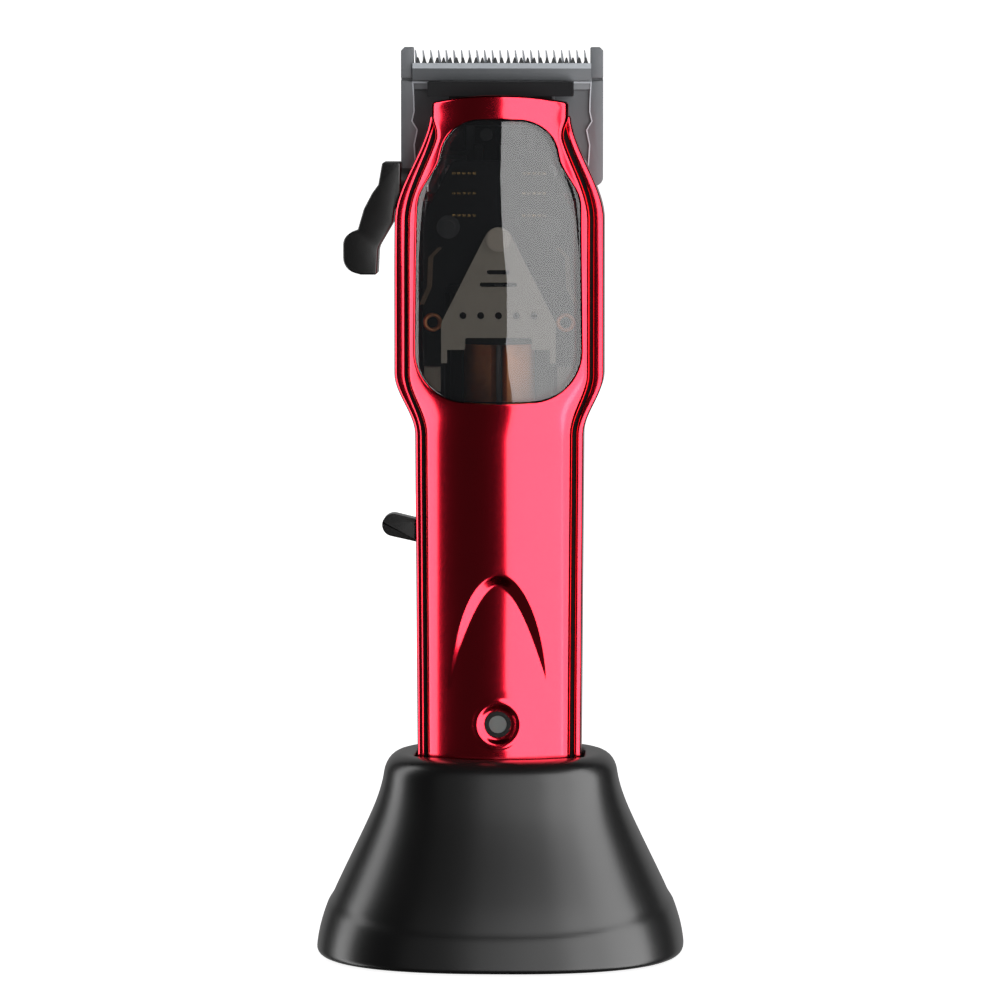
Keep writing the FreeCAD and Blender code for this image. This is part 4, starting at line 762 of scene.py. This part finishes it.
def shell_row(z):
    """Right half of the shell's section from its lip to the middle of its back: outside and inside."""
    side = half_width(z) - end_drop(z, SHELL_TOP, TOP_ROUND)
    back = rear_reach(z) - end_drop(z, SHELL_TOP, TOP_ROUND)
    lip = lip_depth(z)
    inner_x = side - lip_width(z)
    small = 0.15
    outside = [(inner_x, lip + small + 0.9), (inner_x, lip + small)]
    for angle in (30, 60, 90):
        turn = math.radians(angle)
        outside.append((inner_x + small * (1 - math.cos(turn)), lip + small * (1 - math.sin(turn))))
    for angle in between(0, 90, 6):
        turn = math.radians(angle)
        outside.append((side - LIP_ROUND + LIP_ROUND * math.sin(turn),
                        lip + LIP_ROUND * (1 - math.cos(turn))))
    lip_count = len(outside)
    outside += [(side, y) for y in between(lip + LIP_ROUND, 0, 5)[1:]]
    inside = [(inner_x, y) for y in between(lip + 1.3, lip + 3.0, lip_count - 1)]
    inside += [(side - SHELL_WALL, y) for y in between(lip + 4.2, 0, 4)] if lip < -5 else \
        [(side - SHELL_WALL, y) for y in between(lip + 3.1, 0, 4)]
    power = 2 / SHELL_ROUNDNESS
    for step in range(1, 29):
        turn = math.pi / 2 * step / 28
        across = math.cos(turn) ** power if step < 28 else 0.0
        along = math.sin(turn) ** power
        outside.append((side * across, back * along))
        inside.append(((side - SHELL_WALL) * across, (back - SHELL_BACK_WALL) * along))
    return outside, inside


def make_rear_shell(surfaces):
    """Back half of the casing, its lip, and the openings cut in it."""
    rows = {1: [], -1: []}
    heights = between(COVER_BOTTOM, 116.0, 60) + between(116.0, SHELL_TOP - TOP_ROUND, 84)[1:]
    heights += [SHELL_TOP - TOP_ROUND * (1 - share) for share in (0.35, 0.65, 0.88, 1.0)]
    for z in heights:
        outside, inside = shell_row(z)
        for side in (1, -1):
            rows[side].append([(Vector((side * a[0], a[1], z)), Vector((side * b[0], b[1], z)))
                               for a, b in zip(outside, inside)])
    shell = solid_from_skins("rear_shell_back", [rows[1], rows[-1]])

    shell = carve(shell, add_block, (-40, BLADE_SEAT, BLADE_SEAT_BOTTOM), (40, 40, 210))
    shell = carve(shell, add_block, (-HEAD_ROOM_HALF, -0.5, HEAD_ROOM_BOTTOM),
                  (HEAD_ROOM_HALF, BLADE_SEAT + 1, 211))
    seat = [(-40, LEVER_SEAT_RADIUS), (LEVER_SEAT_FLOOR, LEVER_SEAT_RADIUS)]
    shell = carve(shell, add_turned, seat, (0, 0, LEVER_AXIS), "X", 64)
    low, high = TOGGLE_HEIGHT - 4.1, TOGGLE_HEIGHT + 4.1
    slot = rounded_outline([(-5.6, low, 1.2), (0.4, low, 1.2), (0.4, high, 1.2), (-5.6, high, 1.2)])
    shell = carve(shell, add_side_prism, slot, -24, -16.5)
    for z in SCREW_HEIGHTS:
        well = [(rear_reach(z) - SCREW_WELL_DEPTH, SCREW_WELL_RADIUS), (30, SCREW_WELL_RADIUS)]
        shell = carve(shell, add_turned, well, (0, 0, z), "Y", 48)
    piece(shell, surfaces["red_metal"], "clipper", "red_metal", "rear_shell")
    make_seat_shelf(surfaces)


def make_seat_shelf(surfaces):
    """Shelf of the rear shell under the flat blade seat, with the low walls that close its corners."""
    z = BLADE_SEAT_BOTTOM
    outside, _ = shell_row(z)
    curve = [(x - SHELF_INSET, y - SHELF_INSET) for x, y in outside if y > BLADE_SEAT]
    right = [(curve[0][0], BLADE_SEAT)] + curve
    outline = right + [(-x, y) for x, y in reversed(right)]
    bm = prism_between([(x, y, z - SHELF_THICKNESS) for x, y in outline], [(x, y, z) for x, y in outline])
    add_block(bm, (-19.5, 4.9, z - 1.2), (-16.9, 5.7, z + 4.6), 0.2)
    add_block(bm, (15.3, 4.9, z - 1.2), (19.6, 5.7, z + 4.6), 0.2)
    add_block(bm, (12.5, 5.65, z - 0.1), (15.4, 5.85, z + 0.6))
    add_block(bm, (-17.0, 5.65, z - 0.1), (-12.0, 5.85, z + 0.6))
    shelf = object_from("rear_shell_shelf", bm)
    piece(shelf, surfaces["red_metal"], "clipper", "red_metal", "rear_shell")


# ---------------------------------------------------------------- stand

STAND_TOP = 46.0
STAND_FOOT = 0.5
STAND_WALL = 2.4
RIM_ROUND = 4.4
FOOT_ROUND = 1.6
MOUTH_ROUND = 0.6
DECK_BOTTOM = 43.2
STAND_ROUNDNESS = 2.5
STAND_STEPS = 176
PORT_HEIGHT = 17.73
PORT_HALF = 4.9
PORT_RISE = 2.0
PORT_ROUND = 1.95


def stand_reach(z):
    """Half width and half depth of the bell at a height."""
    fall = max(0.0, 44.0 - z) / 44.0
    flare = smooth(0, 1, fall ** 0.95)
    return 26.4 + 15.5 * flare, 24.4 + 16.6 * flare


def oval_point(wide, deep, turn, z):
    """A point of the bell's superellipse."""
    power = 2 / STAND_ROUNDNESS
    across = math.copysign(abs(math.cos(turn)) ** power, math.cos(turn))
    along = math.copysign(abs(math.sin(turn)) ** power, math.sin(turn))
    return Vector((wide * across, deep * along, z))


def crease_height(turn):
    """Height of the soft crease round the bell, lowest at the middle of the front."""
    return 12.4 - 4.2 * math.sin(turn) ** 2


def bell_pull(turn, z):
    """How far the bell draws in above its soft crease."""
    crease = crease_height(turn)
    return 0.42 * smooth(crease - 0.9, crease + 1.5, z) * (1 - smooth(16.0, 32.0, z))


def socket_outline(clearance):
    """The opening that the clipper stands in: an arched front, straight sides and a round back."""
    wide = 18.4 + clearance
    reach = 16.5 + clearance
    arch = 27.0 + clearance
    half_turn = math.radians(28)
    across = arch * math.sin(half_turn)
    corner_y = arch * (1 - math.cos(half_turn)) + (wide - across) * math.tan(half_turn) - reach
    corners = [(arch * math.tan(half_turn / 2), -reach, arch - 0.01), (wide, corner_y, 3.0),
               (wide, reach, 13.5 + clearance)]
    return rounded_outline(mirrored(corners), 12)


def ray_hit(outline, turn):
    """Where a ray from the axis meets an outline."""
    direction = Vector((math.cos(turn), math.sin(turn)))
    best = None
    count = len(outline)
    for index in range(count):
        start = outline[index]
        run = outline[(index + 1) % count] - start
        cross = direction.x * run.y - direction.y * run.x
        if abs(cross) < 1e-9:
            continue
        distance = (start.x * run.y - start.y * run.x) / cross
        share = (start.x * direction.y - start.y * direction.x) / cross
        if distance > 0 and -1e-6 <= share <= 1 + 1e-6 and (best is None or distance > best):
            best = distance
    return direction * best


def stand_column(turn, sockets):
    """One upright line of the stand from its foot over the rim into the socket: outside and inside."""
    def bell(z, pulled):
        wide, deep = stand_reach(z)
        pulled += bell_pull(turn, z)
        return (oval_point(wide - pulled, deep - pulled, turn, z),
                oval_point(wide - STAND_WALL, deep - STAND_WALL, turn, min(z, DECK_BOTTOM)))

    column = []
    for angle in between(90, 0, 6)[:-1]:
        pulled = FOOT_ROUND * (1 - math.cos(math.radians(angle)))
        column.append(bell(STAND_FOOT + FOOT_ROUND * (1 - math.sin(math.radians(angle))), pulled))
    column += [bell(z, 0.0) for z in between(STAND_FOOT + FOOT_ROUND, STAND_TOP - RIM_ROUND, 54)]
    for angle in between(0, 90, 8)[1:]:
        pulled = RIM_ROUND * (1 - math.cos(math.radians(angle)))
        z = STAND_TOP - RIM_ROUND + RIM_ROUND * math.sin(math.radians(angle))
        outer, inner = bell(z, pulled)
        column.append((outer, Vector((inner.x, inner.y, DECK_BOTTOM))))
    rim = column[-1][0]
    polar = math.atan2(rim.y, rim.x)
    edge = ray_hit(sockets["edge"], polar)
    mouth = ray_hit(sockets["mouth"], polar)
    deck = [(rim.xy.lerp(edge, share), STAND_TOP) for share in between(0, 1, 4)[1:]]
    for angle in (30, 60, 90):
        drop = MOUTH_ROUND * (1 - math.cos(math.radians(angle)))
        deck.append((edge.lerp(mouth, math.sin(math.radians(angle))), STAND_TOP - drop))
    deck.append((mouth, DECK_BOTTOM + 0.3))
    return column + [(Vector((p.x, p.y, z)), Vector((p.x, p.y, DECK_BOTTOM))) for p, z in deck]


def make_stand(surfaces):
    """Flared bell with a rounded rim, the deck and the socket's opening."""
    sockets = {"edge": socket_outline(1.4), "mouth": socket_outline(0.8)}
    columns = [stand_column(2 * math.pi * step / STAND_STEPS, sockets) for step in range(STAND_STEPS)]
    columns.append(columns[0])
    stand = solid_from_skins("stand_bell", [columns])
    corners = [(PORT_HALF, PORT_HEIGHT + step, PORT_ROUND) for step in (-PORT_RISE, PORT_RISE)]
    outline = rounded_outline(mirrored(corners))
    stand = carve(stand, add_prism, outline, 24.0, 45.0)
    piece(stand, surfaces["black_plastic"], "stand", "black_plastic", "stand_shell")


# ---------------------------------------------------------------- blades

BLADE_HALF = 23.0
POST_INNER = 20.0
COMB_FRONT = 6.6
COMB_REAR = 9.0
COMB_BOTTOM = 174.5
COMB_TOP = 206.2
COMB_PITCH = 1.75
COMB_TEETH = 23
GROOVE = (198.7, 199.2)
TOOTH_ROOT = 201.3
TOOTH_TIP = 205.6
CUTTER_FRONT = 5.2
CUTTER_REAR = 6.5
CUTTER_HALF = 20.3
CUTTER_PITCH = 1.47
CUTTER_TEETH = 27


def add_tooth(bm, x, root_half, tip_half, z_root, z_tip, y_front, y_rear, tip_front, tip_rear, lean=0.0):
    """A slender tooth: wide and deep at its root, narrow at its rounded tip."""
    part = bmesh.new()
    rings = []
    stations = [(0.0, 1.0), (0.35, 0.62), (0.75, 0.28), (0.93, 0.1), (1.0, 0.0)]
    for rise, share in stations:
        half = tip_half + (root_half - tip_half) * share
        if rise == 1.0:
            half *= 0.55
        front = tip_front + (y_front - tip_front) * share
        rear = tip_rear + (y_rear - tip_rear) * share
        z = z_root + (z_tip - z_root) * rise
        middle = x + lean * rise
        rings.append([part.verts.new(Vector(p) * MM) for p in (
            (middle - half, front, z), (middle + half, front, z),
            (middle + half, rear, z), (middle - half, rear, z))])
    for low, high in zip(rings, rings[1:]):
        for index in range(4):
            following = (index + 1) % 4
            part.faces.new((low[index], low[following], high[following], high[index]))
    part.faces.new(rings[0])
    part.faces.new(rings[-1])
    bmesh.ops.recalc_face_normals(part, faces=part.faces)
    append_mesh(bm, part)


def blade_piece(name, bm, surface, body, node):
    """A blade's part in one painted brightness of steel, with its material and body."""
    piece(object_from(name, bm), surface, body, "blade_steel", node)


def span(side, near, far):
    """Two distances from the middle as a rising pair on one side."""
    return sorted((side * near, side * far))


RAIL = [(19.4, 174.9), (20.0, 184.0), (19.3, 187.4), (20.5, 189.4), (20.0, 191.6), (20.1, 195.0),
        (20.3, 198.4)]
RAIL_HALF = 0.14


def make_comb(surfaces):
    """Lower blade: posts with a groove, a panel painted dark as shade between rails painted bright as
    highlights, and fine tapered teeth; posts and teeth are painted lighter as lit.
    """
    posts = bmesh.new()
    panel = bmesh.new()
    rails = bmesh.new()
    teeth = bmesh.new()
    for side in (1, -1):
        outer = side * BLADE_HALF
        inner = side * (POST_INNER + 0.1)
        post = rounded_outline([(inner, GROOVE[1], 0), (outer, GROOVE[1], 0), (outer, COMB_TOP - 0.8, 0.3),
                                (side * (BLADE_HALF - 0.8), COMB_TOP, 0.2), (inner, COMB_TOP, 0.3)])
        add_prism(posts, post, COMB_FRONT, COMB_REAR, 0.15)
        leg = rounded_outline([(outer, COMB_BOTTOM, 1.8), (outer, GROOVE[0], 0)]
                              + [(side * x, z, 0.3) for x, z in reversed(RAIL)])
        add_prism(posts, leg, COMB_FRONT, COMB_REAR, 0.15)
        low, high = span(side, POST_INNER + 0.15, BLADE_HALF - 0.05)
        add_block(panel, (low, COMB_FRONT + 0.5, 198.2), (high, COMB_REAR - 0.1, 199.8))
        rail = [(side * x - RAIL_HALF, z) for x, z in RAIL]
        rail += [(side * x + RAIL_HALF, z) for x, z in reversed(RAIL)]
        add_prism(rails, rail, COMB_FRONT - 0.1, COMB_FRONT + 0.6)
        low, high = span(side, 15.4, 20.2)
        add_block(rails, (low, COMB_FRONT - 0.05, 198.0), (high, COMB_FRONT + 0.6, 198.4))
    add_prism(panel, [(-20.4, 174.9), (20.4, 174.9), (20.4, 198.4), (-20.4, 198.4)],
              COMB_FRONT + 0.7, COMB_REAR, 0.1)
    # a flap in front of the panel's foot keeps daylight out of the window's corner
    add_block(panel, (12.6, 4.3, 173.2), (16.2, 4.7, 175.3))
    add_block(posts, (-20.4, COMB_FRONT + 0.05, 196.6), (20.4, COMB_REAR, TOOTH_ROOT + 0.1), 0.1)
    first = -COMB_PITCH * (COMB_TEETH - 1) / 2
    for index in range(COMB_TEETH):
        x = first + COMB_PITCH * index
        add_tooth(teeth, x, 0.42, 0.12, TOOTH_ROOT, TOOTH_TIP, COMB_FRONT + 0.05, COMB_REAR, 7.0, 7.5, -0.5)
    # posts and teeth painted lighter as lit, the panel painted dark as shade and the rails painted bright
    # as highlights
    blade_piece("comb_posts", posts, surfaces["blade_post_painted_light"], "comb", "comb_blade")
    blade_piece("comb_panel", panel, surfaces["blade_panel_painted_shade"], "comb", "comb_blade")
    blade_piece("comb_rails", rails, surfaces["blade_painted_highlight"], "comb", "comb_blade")
    blade_piece("comb_teeth", teeth, surfaces["blade_tooth_painted_light"], "comb", "comb_blade")


def make_cutter(surfaces):
    """Moving blade: a neck and a bar, a bevel along its top painted bright as a highlight, and short teeth
    painted dark as shade.
    """
    plate = bmesh.new()
    outline = rounded_outline(mirrored([(12.0, 183.0, 2.0), (12.0, 196.0, 0.5), (15.0, 198.6, 0.5)]))
    add_prism(plate, outline, CUTTER_FRONT, CUTTER_REAR, 0.12)
    add_block(plate, (-CUTTER_HALF, CUTTER_FRONT, 198.7), (CUTTER_HALF, CUTTER_REAR, 201.5), 0.12)
    blade_piece("cutter_plate", plate, surfaces["blade_steel"], "cutter", "cutter_blade")
    edge = bmesh.new()
    bevel = [(CUTTER_FRONT, 201.4), (CUTTER_REAR, 201.4), (CUTTER_REAR, 202.6), (5.8, 202.6)]
    add_side_prism(edge, bevel, -CUTTER_HALF, CUTTER_HALF)
    # the bevel is painted bright as a highlight
    blade_piece("cutter_edge", edge, surfaces["blade_painted_highlight"], "cutter", "cutter_blade")
    teeth = bmesh.new()
    first = -CUTTER_PITCH * (CUTTER_TEETH - 1) / 2
    for index in range(CUTTER_TEETH):
        add_tooth(teeth, first + CUTTER_PITCH * index, 0.6, 0.12, 202.5, 203.9, 5.9, CUTTER_REAR, 6.2,
                  CUTTER_REAR)
    # the teeth are painted dark as shade
    blade_piece("cutter_teeth", teeth, surfaces["blade_painted_shade"], "cutter", "cutter_blade")


# ---------------------------------------------------------------- levers

# Corners of the thumb lever seen from the front, each with its radius, from its top outwards and round.
LEVER_CORNERS = [(-26.7, 180.4, 0.7), (-27.6, 175.3, 0.4), (-29.0, 173.4, 1.6), (-30.9, 169.8, 4.0),
                 (-32.3, 165.0, 0.8), (-35.6, 163.8, 3.0), (-35.6, 156.0, 3.6), (-31.6, 154.9, 0.6),
                 (-27.9, 154.9, 0.6), (-27.6, 161.0, 4.0), (-24.2, 166.8, 2.0), (-23.9, 169.6, 0.4),
                 (-22.5, 171.2, 0.6), (-22.5, 180.4, 0.6)]
LEVER_HALF_DEPTH = 4.0
LEVER_ROUND = 1.3
SCREW_RECESS_RADIUS = 2.6
SCREW_RECESS_FLOOR = -25.9
HUB_RADIUS = 3.9
HUB_ENDS = (-25.6, -22.4)
TOGGLE_PIVOT = (-15.5, TOGGLE_HEIGHT)
TOGGLE_TURN = math.radians(180 + 13)
TOGGLE_DEPTHS = (-5.1, -0.1)


def make_taper_lever(surfaces):
    """Curved thumb lever with a block at its top and a rounded grip at its end, on a turned hub."""
    bm = bmesh.new()
    add_prism(bm, rounded_outline(LEVER_CORNERS, 6), -LEVER_HALF_DEPTH, LEVER_HALF_DEPTH, LEVER_ROUND, 5)
    recess = [(-40, SCREW_RECESS_RADIUS), (SCREW_RECESS_FLOOR, SCREW_RECESS_RADIUS)]
    lever = carve(object_from("thumb_lever", bm), add_turned, recess, (0, 0, LEVER_AXIS), "X", 48)
    piece(lever, surfaces["lever_black"], "taper_lever", "lever_black", "taper_lever")
    bm = bmesh.new()
    add_turned(bm, rounded_rod(*HUB_ENDS, HUB_RADIUS, 0.5), (0, 0, LEVER_AXIS), "X", 72)
    hub = object_from("lever_hub", bm)
    piece(hub, surfaces["lever_black"], "taper_lever", "lever_black", "taper_lever")


def tilted(points, pivot, angle):
    """Points of an outline, given from a pivot, turned about it in the X and Z plane."""
    result = []
    for u, v in points:
        across = u * math.cos(angle) + v * math.sin(angle)
        rise = -u * math.sin(angle) + v * math.cos(angle)
        result.append((pivot[0] + across, pivot[1] + rise))
    return result


def make_power_toggle(surfaces):
    """Rounded toggle that stands out of its slot in the grip."""
    bar = rounded_outline([(2.0, -2.5, 0.4), (11.5, -2.6, 2.58), (11.5, 2.6, 2.58), (2.0, 2.5, 0.4)], 8)
    neck = [(-1.4, -1.2), (-0.6, -1.8), (2.4, -1.8), (2.4, 1.8), (-0.6, 1.8), (-1.4, 1.2)]
    bm = bmesh.new()
    add_prism(bm, tilted(bar, TOGGLE_PIVOT, TOGGLE_TURN), *TOGGLE_DEPTHS, 1.7, 6)
    add_prism(bm, tilted(neck, TOGGLE_PIVOT, TOGGLE_TURN), *TOGGLE_DEPTHS, 0.2, 2)
    toggle = object_from("toggle_knob", bm)
    piece(toggle, surfaces["lever_black"], "power_toggle", "lever_black", "power_toggle")


# ---------------------------------------------------------------- CAD nodes that stay

NODE_SURFACES = {
    "black_plastic": ["dock_cup", "stand_base_plate", "bottom_cap"],
    "lever_black": ["indicator_bezel"],
    "matte_black": ["inner_chassis", "head_block", "switch_module", "battery_cradle",
                    "seam_strips", "motor_can", "motor_mount", "drive_yoke", "crank_cam"],
    "weight_iron": ["stand_weight", "rotor_core"],
    "rubber": ["stand_feet"],
    "screw_steel": ["stand_screws", "housing_screws", "motor_bearings",
                    "blade_screws", "lever_screw", "toggle_pin", "motor_shaft"],
    "blade_steel": ["blade_carrier"],
    "circuit_board": ["stand_board", "main_board"],
    "nickel": ["usb_c_port", "battery_tabs"],
    "bronze": ["contact_arms"],
    "gold": ["charging_pins", "charging_contacts", "header_pins", "contact_sleeves"],
    "spring_steel": ["contact_springs"],
    "copper": ["coil_rings", "motor_windings"],
    "beige_block": ["side_blocks"],
    "badge_steel": ["badge_plate"],
    "bolt_steel": ["badge_bolt"],
    "cell_wrap": ["battery_cell"],
    # the lever's shaft is painted black as shade where it shows between the hub and the casing
    "chip_black": ["board_components", "chassis_screws", "yoke_screws", "lever_shaft"],
    "indicator_grey": ["indicator_lens"],
}


def dress_cad_nodes(surfaces):
    """Give every CAD node that isn't replaced its material."""
    for surface, names in NODE_SURFACES.items():
        for name in names:
            node = nodes[name]
            node.data.materials.clear()
            node.data.materials.append(surfaces[surface])


# ---------------------------------------------------------------- floor, lights and camera

AIM = Vector((0.0, -0.004, 0.1038))
CAMERA_DISTANCE = 1.6
CAMERA_HEIGHT = 0.239
CAMERA_TURN = math.radians(2.3)
FOCAL_LENGTH = 254.0
FLOOR_GLOW = 0.9
WORLD_GLOW = 0.35


def look_from(obj, place, target):
    """Stand an object at a place, turned towards a target."""
    obj.location = place
    obj.rotation_euler = (Vector(target) - Vector(place)).to_track_quat("-Z", "Y").to_euler()


def make_camera():
    """Long lens, a little above the clipper and a touch to its right."""
    camera = bpy.data.objects.new("camera", bpy.data.cameras.new("camera"))
    camera.data.lens = FOCAL_LENGTH
    camera.data.sensor_width = 36.0
    camera.data.clip_end = 100.0
    bpy.context.scene.collection.objects.link(camera)
    place = Vector((CAMERA_DISTANCE * math.sin(CAMERA_TURN), -CAMERA_DISTANCE * math.cos(CAMERA_TURN),
                    CAMERA_HEIGHT))
    look_from(camera, place, AIM)
    bpy.context.scene.camera = camera


def add_softbox(name, azimuths, radiance, roll=0, height=2.6, distance=1.25, middle=0.1):
    """A tall soft light between two azimuths: 0 is in front of the clipper and 90 at its right."""
    turn = math.radians(sum(azimuths) / 2)
    width = 2 * distance * math.tan(math.radians(azimuths[1] - azimuths[0]) / 2)
    light = bpy.data.lights.new(name, "AREA")
    light.shape = "RECTANGLE"
    light.size = width
    light.size_y = height
    light.energy = radiance * math.pi * width * height
    box = bpy.data.objects.new(name, light)
    bpy.context.scene.collection.objects.link(box)
    look_from(box, (distance * math.sin(turn), -distance * math.cos(turn), middle), (0, 0, middle))
    box.rotation_euler.rotate_axis("Z", math.radians(roll))
    box.visible_camera = False
    return box


def make_lights():
    """Soft panels round the clipper, and a second set that shades the stand more gently."""
    clipper_lights = [
        add_softbox("key_front", (5.5, 62), 4.6, roll=8.5),
        add_softbox("key_side", (62, 90), 4.2),
        add_softbox("left_card", (-100, -64), 4.6),
        add_softbox("faint_fill", (-64, 3), 0.04),
    ]
    stand_lights = [
        add_softbox("stand_left", (-119, -98), 3.6),
        add_softbox("stand_faint", (-45, -5), 0.2),
        add_softbox("stand_middle", (-5, 28), 2.0),
        add_softbox("stand_front", (28, 60), 4.0),
        add_softbox("stand_right", (60, 104), 5.0),
    ]
    add_softbox("faint_back", (145, 215), 0.35)
    return clipper_lights, stand_lights


STAND_PARTS = ["stand_bell", "dock_cup", "stand_base_plate", "stand_weight", "stand_feet", "stand_screws",
               "stand_board", "usb_c_port", "contact_sleeves", "contact_springs", "charging_pins"]


def share_lights(clipper_lights, stand_lights):
    """Let each set of lights reach only its own part of the scene."""
    stand = bpy.data.collections.new("stand_lit")
    clipper = bpy.data.collections.new("clipper_lit")
    for obj in bpy.context.scene.objects:
        if obj.type == "MESH" and obj.name != "floor":
            (stand if obj.name in STAND_PARTS else clipper).objects.link(obj)
    for lights, lit in ((clipper_lights, clipper), (stand_lights, stand)):
        for light in lights:
            light.light_linking.receiver_collection = lit


def make_stage():
    """Plain pale floor, and an even pale world around it."""
    bm = bmesh.new()
    bmesh.ops.create_grid(bm, x_segments=1, y_segments=1, size=30.0)
    floor = object_from("floor", bm)
    surface, _, shader = new_material("pale_floor")
    shader.inputs["Base Color"].default_value = (0.86, 0.86, 0.86, 1)
    shader.inputs["Roughness"].default_value = 0.9
    shader.inputs["Emission Color"].default_value = (1, 1, 1, 1)
    shader.inputs["Emission Strength"].default_value = FLOOR_GLOW
    floor.data.materials.append(surface)
    floor.visible_glossy = False
    floor.visible_diffuse = False
    floor.visible_shadow = False

    world = bpy.data.worlds.new("studio")
    world.use_nodes = True
    background = world.node_tree.nodes["Background"]
    background.inputs["Color"].default_value = (1, 1, 1, 1)
    background.inputs["Strength"].default_value = WORLD_GLOW
    world.cycles_visibility.glossy = False
    bpy.context.scene.world = world
    bpy.context.scene.view_settings.view_transform = "Standard"


def make_everything():
    """Stage, materials and every piece."""
    make_camera()
    lights = make_lights()
    make_stage()
    surfaces = make_materials()
    make_front_cover(surfaces)
    make_window_lens(surfaces)
    make_rear_shell(surfaces)
    make_stand(surfaces)
    make_comb(surfaces)
    make_cutter(surfaces)
    make_taper_lever(surfaces)
    make_power_toggle(surfaces)
    dress_cad_nodes(surfaces)
    share_lights(*lights)


make_everything()
